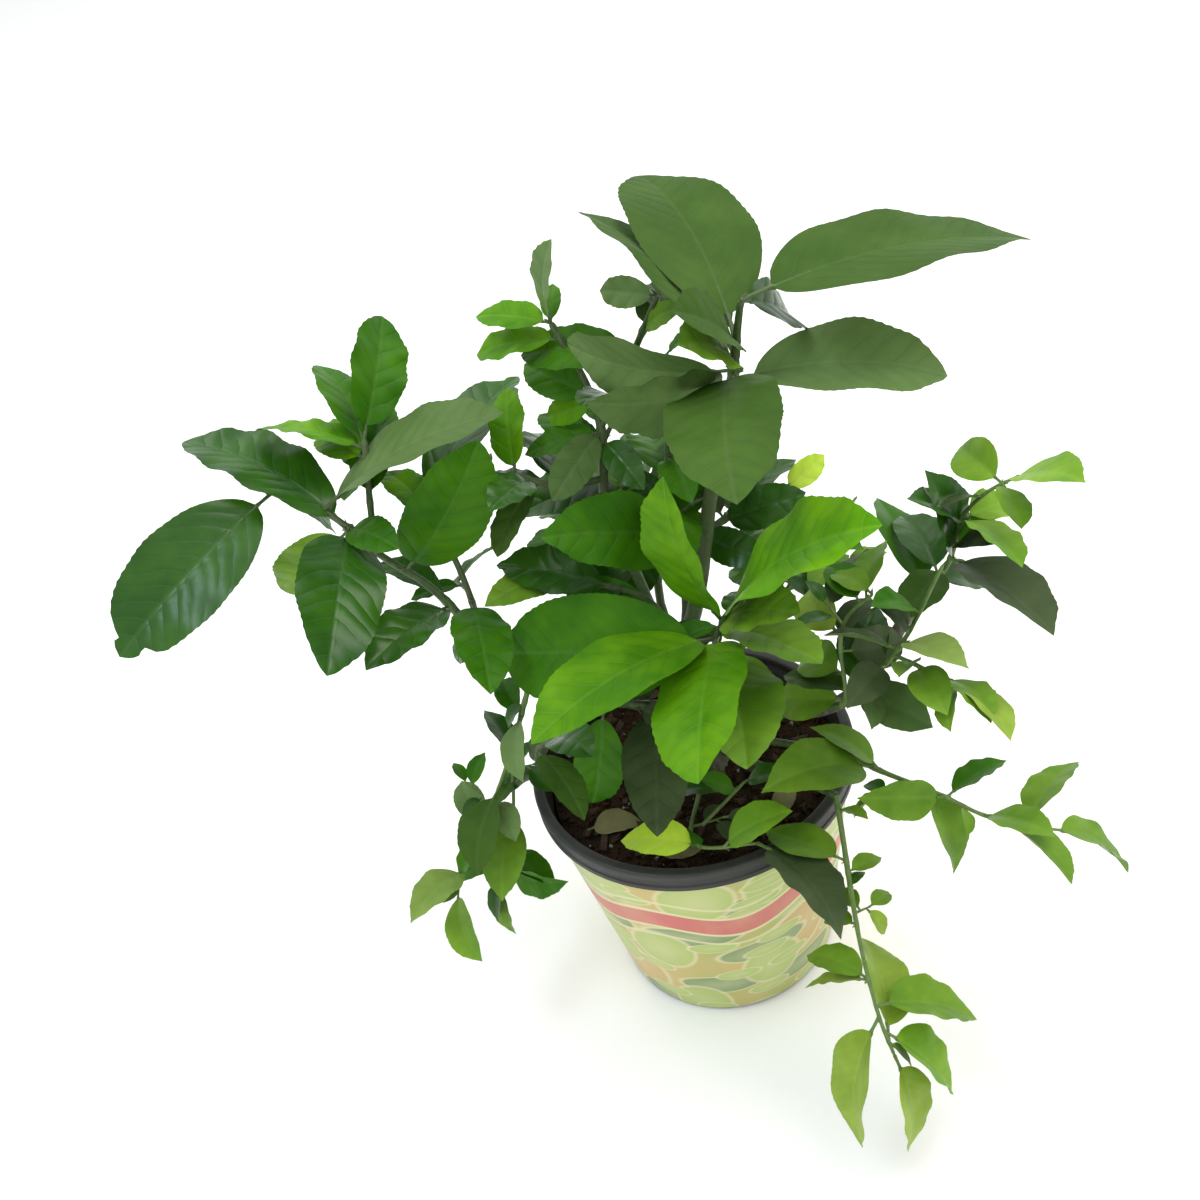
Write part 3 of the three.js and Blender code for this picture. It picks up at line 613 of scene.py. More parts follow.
# Sleeve: two walls that follow the pot's taper, with slow ripples.
def makeSleeve(p, pot):
    heights = np.linspace(p["foot"], pot["height"] - pot["lip"] - p["below"], p["rings"])
    inside = [(wallRadius(pot, z) + p["gap"], z) for z in heights]
    outside = [(radius + p["thick"], z) for radius, z in inside]
    part = revolved(outside + inside[::-1], p["sides"], loop=True)
    turn = np.tile(turnsOf(p["sides"]), 2 * len(heights))
    ripple = p["ripple"] * waves(part["points"][:, 2], turn, *p["ripples"])
    part["points"] = part["points"] + unit(part["points"] * [1, 1, 0]) * ripple[:, None]
    distance = 2 * np.pi * part["columns"] / p["sides"] * p["chartRadius"]
    part["uv"] = [np.stack([distance, part["points"][part["faces"][0], 2]], -1) / 100]
    makePiece("printed_sleeve", [part], [printMaterial(sleevePrint)], ["pot_sleeve"], 40)


makeSleeve(sleeveShape, potShape)

# Soil: a crumbly bed with crumbs, bark chips and pale grit. Each kind strewn on it is (count, clear of the
# edge, least and most size, shares of the size along, across and up).
soilShape = {
    "level": 134.6, "foot": 3.3, "sides": 150, "rings": 40, "clear": 0.5, "heights": (30, 100, 130),
    "top": 134, "bevel": 0.4, "dish": 1.2, "dishMiddle": 55, "dishReach": 18,
    "lump": 1.3, "lumps": (21, 34.0, 4), "grain": 0.8, "grains": (22, 9.0, 14, 12), "seed": 7,
    "crumbs": (1500, 2, (1.0, 3.4), (1, 1, 1)), "chips": (130, 6, (3.5, 10.0), (1.0, 0.55, 0.22)),
    "grit": (60, 3, (0.9, 2.4), (1, 1, 1)),
}
soilTones = {
    "dark_soil": ((0.012, 0.007, 0.003), (0.034, 0.017, 0.006), (0.075, 0.040, 0.014)),
    "bark_chips": ((0.030, 0.018, 0.010), (0.070, 0.040, 0.022), (0.12, 0.085, 0.050)),
    "pale_grit": ((0.36, 0.34, 0.29), (0.48, 0.46, 0.40), (0.30, 0.27, 0.21)),
}


# Height of the bed: a shallow ring-shaped dip, as a bell curve, plus two scales of waves.
def soilHeight(x, y):
    p, turn, away = soilShape, np.arctan2(y, x), np.hypot(x, y)
    return (p["level"] - p["dish"] * np.exp(-((away - p["dishMiddle"]) / p["dishReach"]) ** 2)
            + p["lump"] * waves(away, turn, *p["lumps"]) + p["grain"] * waves(away, turn, *p["grains"]))


# Radius of the soil's side at a height, a little inside the pot's wall.
def soilRadius(p, pot, z):
    taper = (pot["rim"] - pot["overhang"] - pot["base"]) / (pot["height"] - pot["floor"])
    return pot["base"] - pot["wall"] + taper * (z - pot["floor"]) - p["clear"]


# Soil: patches of the second colour over the first, and grains of the third, with pits between them.
def soilMaterial(name, first, second, third):
    material, tree, shader = newMaterial(name, **{"Roughness": 0.95, "Specular IOR Level": 0.2})
    spots = useGroup(tree, mottle, Grain=900.0, Patch=160.0)
    pits = addNode(tree, "ShaderNodeTexVoronoi", {"Vector": objectPlace(tree), "Scale": 420.0})
    colour = blend(tree, spots["Patch"], first, second)
    colour = blend(tree, spots["Grain"], colour, third, 0.4)
    height = calc(tree, "SUBTRACT", spots["Grain"], pits.outputs["Distance"])
    feed(tree, shader, colour, None, height, 0.8, 0.0012)
    return material


# Blocks with six faces each: places and sizes given, corners pushed about and turns drawn by the seed.
def blocks(random, places, sizes):
    n = len(places)
    corners = np.array([[x, y, z] for z in (-1, 1) for x, y in ((-1, -1), (1, -1), (1, 1), (-1, 1))])
    shape = 0.5 * sizes[:, None] * (corners + random.uniform(-0.7, 0.7, (n, 8, 3)))
    spin, tilt = random.uniform(0, 2 * np.pi, (n, 1)), random.uniform(-0.5, 0.5, (n, 1))
    x, y, z = np.moveaxis(shape, -1, 0)
    x, z = turned(x, z, tilt)
    x, y = turned(x, y, spin)
    sides = np.array([[0, 3, 2, 1], [4, 5, 6, 7], [0, 1, 5, 4], [1, 2, 6, 5], [2, 3, 7, 6], [3, 0, 4, 7]])
    faces = (sides[None] + 8 * np.arange(n)[:, None, None]).reshape(-1, 4)
    return {"points": (places[:, None] + np.stack([x, y, z], -1)).reshape(-1, 3), "faces": [faces]}


# Places on the soil, evenly spread over a circle, and sizes of which most are small.
def scatter(random, count, reach, sizes):
    away, turn = reach * np.sqrt(random.random(count)), random.uniform(0, 2 * np.pi, count)
    x, y = away * np.cos(turn), away * np.sin(turn)
    size = sizes[0] + (sizes[1] - sizes[0]) * random.random((count, 1)) ** 2
    size = size * random.uniform(0.6, 1.1, (count, 3))
    return np.stack([x, y, soilHeight(x, y) + 0.25 * size[:, 2]], -1), size


# Soil: a turned bed whose top follows soilHeight, with blocks strewn on it.
def makeSoil(p, pot):
    rows = [(2.0, p["foot"]), (soilRadius(p, pot, p["foot"]) - 2, p["foot"])]
    rows += [(soilRadius(p, pot, z), z) for z in p["heights"]]
    edge = soilRadius(p, pot, p["top"]) - p["bevel"]
    bed = revolved(rows + [(edge * k / p["rings"], 0) for k in range(p["rings"], 0, -1)], p["sides"])
    top = bed["points"][p["sides"] * len(rows):]
    top[:, 2] = soilHeight(top[:, 0], top[:, 1])
    dark, bark, pale = (soilMaterial(name, *colours) for name, colours in soilTones.items())
    random = np.random.default_rng(p["seed"])
    strewn = []
    for count, inset, span, shares in (p["crumbs"], p["chips"], p["grit"]):
        places, sizes = scatter(random, count, edge - inset, span)
        strewn.append(blocks(random, places, sizes * shares))
    makePiece("soil_bed", [bed, strewn[0]], [dark], ["potting_soil"], 60)
    makePiece("soil_bark_chips", [strewn[1]], [bark], ["potting_soil"], 30)
    makePiece("soil_grit", [strewn[2]], [pale], ["potting_soil"], 30)


makeSoil(soilShape, potShape)
print("pot, sleeve and soil with", soilShape["chips"][0], "bark chips")

# Masses of foliage as in the source: each starts at a point or at a share of the trunk, and has stems of
# (heading, rise, length) steps, with the leaves that show as (tone, share along the stem, heading, rise,
# roll, length). Later stems start from a share of the mass's first one. The seed draws the "rest" of the
# leaves, whose tones go round restTones, and the "finer" shoots, which the source hasn't.
# Tones are matched to how lit each leaf looks, so a leaf in shade may take a brighter tone than its own:
# partly its own colour, partly painted light.
masses = {
    "left_lemon_foliage": {
        "kind": "lemon", "start": (-92, 20, 231), "seed": 459, "rest": 6, "restTones": "mmmmdb", "finer": 5,
        "stems": [
            {"path": [(165, 65, 52), (155, 40, 30), (150, 45, 32), (155, 25, 32)], "shown": [
                ("d", 1, -145, -20, -40, 112), ("m", 0.95, 70, -55, 65, 50), ("d", 0.7, 150, 30, 5, 100),
                ("h", 0.8, -5, 20, 0, 110), ("f", 0.7, 160, -35, -85, 68), ("d", 0.7, -95, -10, -40, 98),
                ("m", 0.7, -50, 5, 25, 46), ("m", 0.45, -10, 50, 100, 90), ("d", 0.25, -125, 10, -10, 66),
            ]},
            {"from": 0.03, "path": [(100, 75, 42), (120, 65, 43)], "shown": [
                ("d", 1, 45, 20, -5, 88), ("b", 0.85, 120, 15, 10, 52), ("d", 0.1, 160, -40, -45, 28),
            ]},
            {"from": 0.58, "path": [(70, 62, 57)], "shown": [
                ("m", 1, 70, 35, 55, 70), ("m", 0.95, 110, 20, 30, 68), ("b", 0.9, 160, 15, 15, 60),
            ]},
        ],
    },
    "top_lemon_foliage": {
        "kind": "lemon", "start": (54, -10, 370), "seed": 5, "rest": 0, "restTones": "gm", "finer": 2,
        "stems": [
            {"path": [(-60, 72, 33), (-30, 75, 12)], "shown": [
                ("g", 1, 10, -5, 5, 134), ("d", 1, 55, -35, 50, 58), ("g", 0.4, 125, 30, 25, 104),
                ("g", 0.55, 100, 20, 0, 126), ("g", 0.5, -125, 40, -50, 60), ("f", 0.3, -120, 35, -50, 60),
                ("p", 0.05, -15, -5, 15, 92), ("p", 0.2, 145, 5, -110, 86), ("g", 0.15, -100, 0, 5, 102),
                ("h", 0.1, -155, 15, -110, 74),
            ]},
        ],
    },
    "centre_lemon_foliage": {
        "kind": "lemon", "start": (18, -22, 223), "seed": 8, "rest": 0, "restTones": "m", "finer": 3,
        "stems": [
            {"path": [(-68, 60, 58)], "shown": [
                ("b", 0.95, -160, 80, -165, 88), ("n", 1, -40, 40, 15, 110), ("f", 0.9, -55, 30, 20, 62),
                ("f", 0.8, -55, 10, -10, 66), ("b", 0.7, -105, 0, 15, 98), ("b", 0.65, -150, 5, 5, 108),
                ("m", 0.6, 160, -5, -50, 118), ("f", 0.4, -90, 5, -35, 92),
            ]},
        ],
    },
    "back_left_foliage": {
        "kind": "lemon", "start": (-14, 36, 303), "seed": 270,
        "rest": 14, "restTones": "mdmmmdfsddhsmd", "finer": 6,
        "stems": [
            {"path": [(60, 70, 34), (120, 80, 21), (145, 70, 36)], "shown": [
                ("p", 1, -55, 70, 70, 48), ("m", 1, 75, 35, 5, 22), ("b", 1, 150, 5, -15, 42),
                ("b", 0.9, 160, -5, -15, 46), ("m", 0.55, 135, 15, -45, 44), ("b", 0.5, 150, -15, -65, 30),
                ("h", 0.35, -140, -25, -45, 44), ("d", 0.3, -60, -30, 30, 36),
            ]},
            {"from": 0.36, "path": [(-15, 58, 78)], "shown": [
                ("p", 1, 140, 0, -60, 34), ("f", 0.75, -35, 30, 50, 26), ("m", 0.6, 155, 0, -25, 60),
            ]},
            {"from": 0.08, "path": [(-175, 5, 21), (180, 30, 26)], "shown": [
                ("b", 0.95, 85, 40, -25, 48), ("d", 0.8, -115, 15, -15, 46), ("g", 0.7, -145, -35, -5, 44),
            ]},
        ],
    },
    "inner_back_foliage": {
        "kind": "lemon", "start": (18, 14, 263), "seed": 455,
        "rest": 16, "restTones": "dsmddsmdmmmddsmd", "finer": 7,
        "stems": [
            {"path": [(90, 65, 24), (75, 75, 22), (50, 75, 20)], "shown": [
                ("d", 1, 105, 15, -20, 32), ("g", 0.9, -40, 40, 75, 28), ("d", 0.55, 135, 5, -45, 34),
            ]},
            {"from": 0.15, "path": [(20, 10, 18), (10, 12, 43)], "shown": [
                ("v", 1, 25, 15, 50, 28), ("m", 0.75, -50, -15, 30, 38), ("d", 0.4, -20, 20, 60, 48),
                ("d", 0.2, -45, -5, 45, 42), ("m", 0.05, -155, 30, -55, 86),
            ]},
        ],
    },
    "inner_left_foliage": {
        "kind": "lemon", "onTrunk": 0.84, "seed": 105, "rest": 5, "restTones": "sdsdd", "finer": 3,
        "stems": [
            {"path": [(-127, 0, 17), (-150, 32, 43), (-160, -5, 23), (-165, -20, 18)], "shown": [
                ("g", 1, -65, -20, -25, 46), ("s", 0.85, 160, -40, -35, 28), ("m", 0.6, -155, -70, -55, 60),
                ("s", 0.4, -10, -50, 35, 40), ("s", 0.25, -100, -15, -5, 76),
            ]},
            {"from": 0.19, "path": [(72, 68, 53), (155, 20, 49)], "shown": [
                ("f", 1, -160, 5, -20, 46), ("d", 0.7, -150, -10, -45, 40), ("m", 0.5, 145, 5, -45, 52),
            ]},
        ],
    },
    "right_lime_foliage": {
        "kind": "lime", "start": (124, -36, 249), "seed": 76, "rest": 8, "restTones": "mgmsdmsf", "finer": 4,
        "stems": [
            {"path": [(-20, 55, 23), (-20, 72, 33), (-15, 45, 14), (5, 15, 10)], "shown": [
                ("y", 1, -70, 25, 5, 50), ("y", 0.95, 100, 0, -35, 40), ("f", 0.95, -95, -5, -25, 32),
                ("y", 0.65, 30, -15, 25, 34), ("y", 0.65, -75, 0, -25, 44), ("d", 0.6, -155, 45, -20, 42),
                ("s", 0.45, -65, 30, 15, 34), ("d", 0.35, -155, 80, -55, 54), ("s", 0.35, -70, 0, -15, 70),
                ("d", 0.2, 95, 10, 5, 46), ("d", 0.15, 30, -30, 25, 40), ("m", 0.05, 95, 20, 40, 62),
            ]},
        ],
    },
    "front_lime_foliage": {
        "kind": "lime", "start": (76, -60, 214), "seed": 44, "rest": 9, "restTones": "hfdsdsdmm", "finer": 4,
        "stems": [
            {"path": [(-20, 50, 41), (-25, 65, 60)], "shown": [
                ("m", 0.7, -150, 40, -15, 32), ("s", 0.6, -160, 55, -55, 28), ("l", 0.5, -60, 15, -10, 42),
                ("s", 0.35, -135, 0, -30, 34), ("h", 0.2, -100, -5, -40, 30), ("g", 0.1, 135, -5, 5, 40),
                ("h", 0.1, -50, 0, 40, 44), ("d", 0.1, 55, 30, 15, 46), ("f", 0.05, 135, -20, -45, 44),
            ]},
            {"from": 0.42, "path": [(-45, -10, 33)], "shown": [
                ("w", 1, -75, 0, -30, 40), ("f", 0.95, -115, -5, 45, 28), ("f", 0.8, -75, 5, -10, 36),
                ("f", 0.35, -85, 0, -20, 36),
            ]},
            {"from": 0.04, "path": [(35, 78, 49), (0, 35, 13)], "shown": [
                ("f", 1, 120, 0, -5, 28), ("f", 0.95, 60, 10, -30, 38), ("w", 0.6, 105, 0, -30, 42),
                ("s", 0.55, 55, 5, -15, 30), ("s", 0.45, 25, -20, 45, 36), ("f", 0.25, 115, -20, -40, 42),
            ]},
        ],
    },
    "drooping_right_foliage": {
        "kind": "lime", "start": (76, -58, 180), "seed": 439, "rest": 2, "restTones": "fm", "finer": 3,
        "stems": [
            {"path": [(-25, -35, 12), (-35, -15, 41), (-35, -20, 18), (-15, -20, 34)], "shown": [
                ("f", 1, -10, -40, -15, 52), ("f", 0.9, 40, 5, -30, 48), ("f", 0.8, -75, 5, -35, 50),
                ("f", 0.7, -55, 20, -10, 40), ("f", 0.6, -105, -5, -50, 18), ("m", 0.5, 15, 10, -20, 36),
                ("f", 0.5, 180, 15, -75, 44), ("f", 0.4, -70, -60, -25, 48), ("f", 0.15, -160, 20, -10, 66),
            ]},
        ],
    },
    "drooping_front_foliage": {
        "kind": "lime", "start": (65, -80, 175), "seed": 83, "rest": 0, "restTones": "wf", "finer": 4,
        "stems": [
            {"path": [(-95, -45, 89), (-85, -50, 21), (-75, -50, 16)], "shown": [
                ("w", 1, -90, -70, -50, 56), ("f", 0.95, -35, -55, -20, 18), ("w", 0.95, 85, 5, 45, 60),
                ("y", 0.9, -20, -55, -10, 56), ("w", 0.85, -130, -55, 40, 68), ("f", 0.8, 0, -30, -10, 56),
                ("w", 0.7, 160, -20, 30, 34), ("f", 0.7, 135, -10, 5, 36), ("f", 0.5, 135, -20, 0, 22),
                ("m", 0.35, 45, -5, -10, 12), ("f", 0.3, 25, -10, 5, 20), ("f", 0.25, 140, 0, 10, 46),
                ("f", 0.05, -50, 10, -15, 18),
            ]},
        ],
    },
    "drooping_left_foliage": {
        "kind": "lime", "start": (-73, -4, 226), "seed": 240, "rest": 4, "restTones": "mddm", "finer": 4,
        "stems": [
            {"path": [(-170, -63, 52), (-164, -56, 92)], "shown": [
                ("f", 1, -80, -20, 40, 44), ("g", 0.95, -165, -30, -50, 20), ("l", 0.9, -130, 10, -5, 46),
                ("m", 0.75, -155, -50, -5, 26), ("p", 0.7, 105, 20, 5, 34), ("p", 0.55, -70, -25, 5, 28),
                ("g", 0.5, -120, -35, -30, 48), ("d", 0.35, 110, 25, 35, 32),
                ("p", 0.15, -100, -25, 35, 38), ("d", 0.1, -170, -45, -10, 18),
            ]},
            {"from": 0.3, "path": [(-170, -75, 66), (-162, -65, 36)], "shown": [
                ("f", 1, -90, -65, 45, 32), ("d", 0.95, -125, -55, 20, 26), ("m", 0.75, -45, -15, -10, 36),
                ("m", 0.85, -40, 10, 70, 48), ("f", 0.45, -110, -35, -20, 50), ("g", 0.25, -125, -5, 0, 16),
            ]},
        ],
    },
    "soil_shoot_foliage": {
        "kind": "lime", "onTrunk": 0.08, "seed": 104, "rest": 0, "restTones": "s", "finer": 2,
        "stems": [
            {"path": [(-105, 0, 27), (-95, 14, 58), (-10, 0, 27)], "shown": [
                ("s", 1, -65, -5, -25, 66), ("y", 0.85, -15, 35, 10, 44), ("v", 0.75, 155, -5, -5, 46),
                ("m", 0.6, -110, 20, -25, 20),
            ]},
            {"from": 0.58, "path": [(20, 28, 31)], "shown": [
                ("d", 1, -25, 25, 5, 28), ("m", 0.85, -175, 40, -20, 24), ("d", 0.7, 155, -5, 10, 32),
            ]},
        ],
    },
    "back_lemon_foliage": {
        "kind": "lemon", "start": (2, 48, 216), "seed": 354, "rest": 26, "restTones": "dmgdbm", "finer": 14,
        "stems": [
            {"path": [(85, 48, 45), (95, 20, 45)], "shown": []},
            {"from": 0.3, "path": [(135, 25, 55)], "shown": []},
            {"from": 0.45, "path": [(50, 50, 50)], "shown": []},
        ],
    },
    "back_right_foliage": {
        "kind": "lime", "start": (58, 32, 205), "seed": 283, "rest": 26, "restTones": "mdfmds", "finer": 9,
        "stems": [
            {"path": [(25, 35, 50), (40, 15, 35)], "shown": []},
            {"from": 0.25, "path": [(75, 30, 50)], "shown": []},
            {"from": 0.2, "path": [(-5, 20, 45)], "shown": []},
        ],
    },
}

# Trunk: the source's crooked line and radii, with a root flare, graft unions and bark relief. The line starts
# "sunk" millimetres under the source's, where masses without a bough stand. The relief's waves are (seed,
# pitch, turns, count).
trunkShape = {
    "foot": (8, 4, 135.3), "path": ((0, 90, 10), (-120, 83, 18), (165, 86, 24), (-140, 83, 22)), "sunk": 1,
    "radii": (12.6, 8.6, 7.6, 7.4, 6.4), "topShares": (0.96, 0.86, 0.66, 0.35), "sides": 48, "step": 1.2,
    "unions": ((0.34, 0.10), (0.66, 0.13), (0.88, 0.09)), "unionReach": 0.05,
    "flare": 2.0, "flareReach": 3.0, "toes": 5, "toeDepth": 0.16, "toeReach": 6.0,
    "bark": 0.055, "ridges": (31, 46.0, 9, 10), "cracks": (32, 7.0, 16, 14), "crackShare": 0.8,
}
boughShape = {"sides": 20, "step": 1.6, "collar": 0.55, "collarStart": 5, "collarReach": 5.0,
              "wander": (26.0, 0), "wanderShare": 0.05, "relief": 0.05, "ridges": (22.0, 5, 9)}
# Each bough: share of the trunk's length where it leaves, points that it passes, the mass that it carries,
# and its radii at both ends
boughs = {
    "top_bough": (0.99, [(20, 0, 250), (36, 0, 308)], "top_lemon_foliage", (4.4, 3)),
    "left_bough": (0.86, [(-44, 14, 210)], "left_lemon_foliage", (3.8, 2.8)),
    "back_left_bough": (0.95, [(-8, 36, 254)], "back_left_foliage", (3.4, 2.7)),
    "centre_bough": (0.8, [], "centre_lemon_foliage", (3.4, 2.8)),
    "inner_back_bough": (0.9, [(14, 14, 232)], "inner_back_foliage", (3, 2.7)),
    "right_bough": (0.66, [(80, -40, 198)], "right_lime_foliage", (4.6, 3.2)),
    "front_lime_bough": (0.5, [], "front_lime_foliage", (2.6, 1.9)),
    "drooping_right_bough": (0.34, [], "drooping_right_foliage", (2.4, 1.8)),
    "drooping_front_bough": (0.2, [], "drooping_front_foliage", (2.4, 1.8)),
    "drooping_left_bough": (0.6, [(-40, -6, 204)], "drooping_left_foliage", (2.4, 1.8)),
    "back_bough": (0.76, [], "back_lemon_foliage", (3.2, 2.7)),
    "back_right_bough": (0.6, [], "back_right_foliage", (2.6, 1.9)),
}


# Points reached by walking a path of (heading, rise, length) steps.
def walk(start, path):
    points = [np.array(start, float)]
    for heading, rise, length in path:
        points.append(points[-1] + length * direction(heading, rise))
    return np.array(points)


# Point at a share of the length of a line of points.
def pointAlong(points, share):
    s = lengthsAlong(points)
    return np.array([np.interp(share * s[-1], s, points[:, k]) for k in range(3)])


trunkLine = walk(trunkShape["foot"], trunkShape["path"])
sourceLine = np.concatenate([trunkLine[:1] + [0, 0, trunkShape["sunk"]], trunkLine[1:]])


# Trunk: the source's radii, swollen at each union by a bell curve, and near the foot by a curve that fades
# upwards. Ridges and cracks run up it and wander round, and the flare has toes.
def makeTrunk(p):
    path = smoothPath(trunkLine, p["step"])
    s = lengthsAlong(path)
    share = s / s[-1]
    radii = np.interp(share, lengthsAlong(trunkLine) / lengthsAlong(trunkLine)[-1], p["radii"])
    for place, swell in p["unions"]:
        radii = radii * (1 + swell * np.exp(-((share - place) / p["unionReach"]) ** 2))
    radii = radii + p["flare"] * np.exp(-s / p["flareReach"])
    radii[-len(p["topShares"]):] *= p["topShares"]
    turn = turnsOf(p["sides"])
    bark = waves(s[:, None], turn[None], *p["ridges"])
    bark = bark + p["crackShare"] * waves(s[:, None], turn[None], *p["cracks"])
    toes = p["toeDepth"] * np.exp(-s / p["toeReach"])[:, None] * np.sin(p["toes"] * turn + 0.7)[None]
    makePiece("grafted_trunk", [tube(path, radii, p["sides"], 1 + p["bark"] * bark + toes)], [barkMaterial],
              ["trunk"])


# Bough: its radius goes straight from one end's to the other's, with a collar that fades as it leaves the
# trunk. Each bough's waves are seeded by the length of its name.
def makeBough(name, bough, p):
    share, through, mass, (thick, thin) = bough
    path = smoothPath([pointAlong(trunkLine, share), *through, masses[mass]["start"]], p["step"])
    s = lengthsAlong(path)
    radii = thick + (thin - thick) * s / s[-1]
    radii = radii * (1 + p["collar"] * np.exp(-np.maximum(0, s - p["collarStart"]) / p["collarReach"]))
    radii = radii * (1 + p["wanderShare"] * waves(s, 0 * s, len(name), *p["wander"]))
    turn = turnsOf(p["sides"])
    relief = 1 + p["relief"] * waves(s[:, None], turn[None], 40 + len(name), *p["ridges"])
    old = name == "right_bough"
    makePiece(name.replace("bough", "limb"), [tube(path, radii, p["sides"], relief)],
              [barkMaterial if old else greenMaterial], [name], 50)


makeTrunk(trunkShape)
for name, bough in boughs.items():
    makeBough(name, bough, boughShape)
print("trunk and", len(boughs), "boughs")

# Leaves and twigs of the two grafts: shares of the leaf's length, sizes in millimetres, angles in degrees
kinds = {
    "lemon": {
        "slot": "lemon_leaf", "size": (40, 72), "broad": 0.46, "petiole": 0.1,
        "foot": 0.52, "point": 0.60, "pointSpread": (0.78, 1.15), "nib": 0.36, "tooth": 0.4, "toothStep": 4.0,
        "fold": (10, 20), "wave": 0.085, "droop": 0.03, "bend": 0.03, "bites": 0.5,
        "twig": (2.5, 1.5), "thorn": 5.0, "shoot": (16, 30), "shootLeaf": (24, 40),
    },
    "lime": {
        "slot": "lime_leaf", "size": (24, 42), "broad": 0.52, "petiole": 0.12,
        "foot": 0.60, "point": 0.84, "pointSpread": (0.8, 1.15), "nib": 0.45, "tooth": 0.2, "toothStep": 3.4,
        "fold": (13, 30), "wave": 0.06, "droop": 0.07, "bend": 0.05, "bites": 0.0,
        "twig": (1.5, 0.8), "thorn": 3.0, "shoot": (10, 20), "shootLeaf": (13, 24),
    },
}
# Every blade: columns across by least length, as shares of the half width; the rib's rows are (place as a
# share of the petiole, radius as a share of the rib's). Easing is how far a roll may turn to clear others.
leafShape = {
    "columns": ((60, (0.16, 0.44, 0.74, 1)), (26, (0.25, 0.66, 1)), (0, (0.5, 1))), "rows": (8, 44),
    "footSpread": (0.92, 1.1), "widthSpread": (0.96, 1.05), "petioleHalf": 0.7, "tipHalf": 0.18,
    "nibFrom": 0.84, "biteCount": 3, "biteAt": (0.86, 0.97), "bite": (0.15, 0.40), "biteReach": 0.022,
    "biteLength": 60, "waveSpread": (0.4, 1.3), "waveLength": 80, "waveCount": (2.0, 3.8), "wavePower": 1.3,
    "arch": 0.08, "archSpread": (0.85, 1.1), "flatten": 0.3, "twist": 18, "twistFrom": 0.35, "thick": 0.45,
    "rib": ((0, 1.15), (0.35, 0.95), (0.8, 0.9), (1, 1.2), (1.12, 0.95), (2.2, 0.6), (4.2, 0.42), (6.6, 0.2)),
    "ribRadius": 0.5, "ribPerLength": 0.0058, "ribSunk": 0.62, "ribSides": 6, "thickLength": 70,
    "toothFade": (0.14, 0.1, 0.97, 0.06), "toothLength": 60, "toothLeast": 0.2,
    "easing": (0, 10, -10, 20, -20, 30, -30), "easingCost": 0.7,
}
# The source's rule for the leaves that its seed draws
drawnLeaf = {"from": 0.15, "span": 0.8, "turn": 137.5, "turnSpread": 30, "rises": 35, "lowest": -5,
             "lengthPower": 1.5, "rollSpread": 50}


# Numbers from 0 to 1 that follow from the seed, as in the source.
def seededNumbers(seed):
    state = seed
    while True:
        state = (state * 1664525 + 1013904223) % 4294967296
        yield state / 4294967296


# Leaf's own axes: along it and out of its face.
def leafAxes(heading, rise, roll):
    along = direction(heading, rise)
    level = unit(np.array([0, 0, 1.0]) - along[2] * along)
    side = np.cross(along, level)
    return along, level * math.cos(math.radians(roll)) + side * math.sin(math.radians(roll))


# Half width of a blade at shares u of its length: u^foot (1 - u)^point over that curve's top, drawn in
# towards the tip. Bites take bell-shaped pieces out of one side, which s tells from the other.
def bladeHalf(look, length, u, s, random, bites):
    shape = leafShape
    foot = look["foot"] * random.uniform(*shape["footSpread"])
    point = look["point"] * random.uniform(*look["pointSpread"])
    top = foot / (foot + point)
    profile = u**foot * (1 - u) ** point / (top**foot * (1 - top) ** point)
    profile = profile * (1 - look["nib"] * np.clip((u - shape["nibFrom"]) / (1 - shape["nibFrom"]), 0, 1))
    ends = shape["petioleHalf"] * (1 - u) + shape["tipHalf"] * u
    half = np.maximum(0.5 * look["broad"] * length * random.uniform(*shape["widthSpread"]) * profile, ends)
    if random.random() < bites:
        for _ in range(shape["biteCount"]):
            share = random.uniform(*shape["biteAt"])
            gone = random.uniform(*shape["bite"]) * np.exp(-((u - share) / shape["biteReach"]) ** 2)
            half = half * (1 - gone * (s * random.choice([-1, 1]) > 0))
    return half


# Teeth: every second row stands out of the edge and the next one in, fading at both ends and on small leaves.
def teeth(look, length, u):
    sign = np.where(np.arange(len(u)) % 2 == 0, 1.0, -1.0)[:, None]
    start, rise, stop, fall = leafShape["toothFade"]
    fading = np.clip((u - start) / rise, 0, 1) * np.clip((stop - u) / fall, 0, 1)
    growth = min(1, length / leafShape["toothLength"] + leafShape["toothLeast"])
    return 0.5 * look["tooth"] * sign * fading * growth


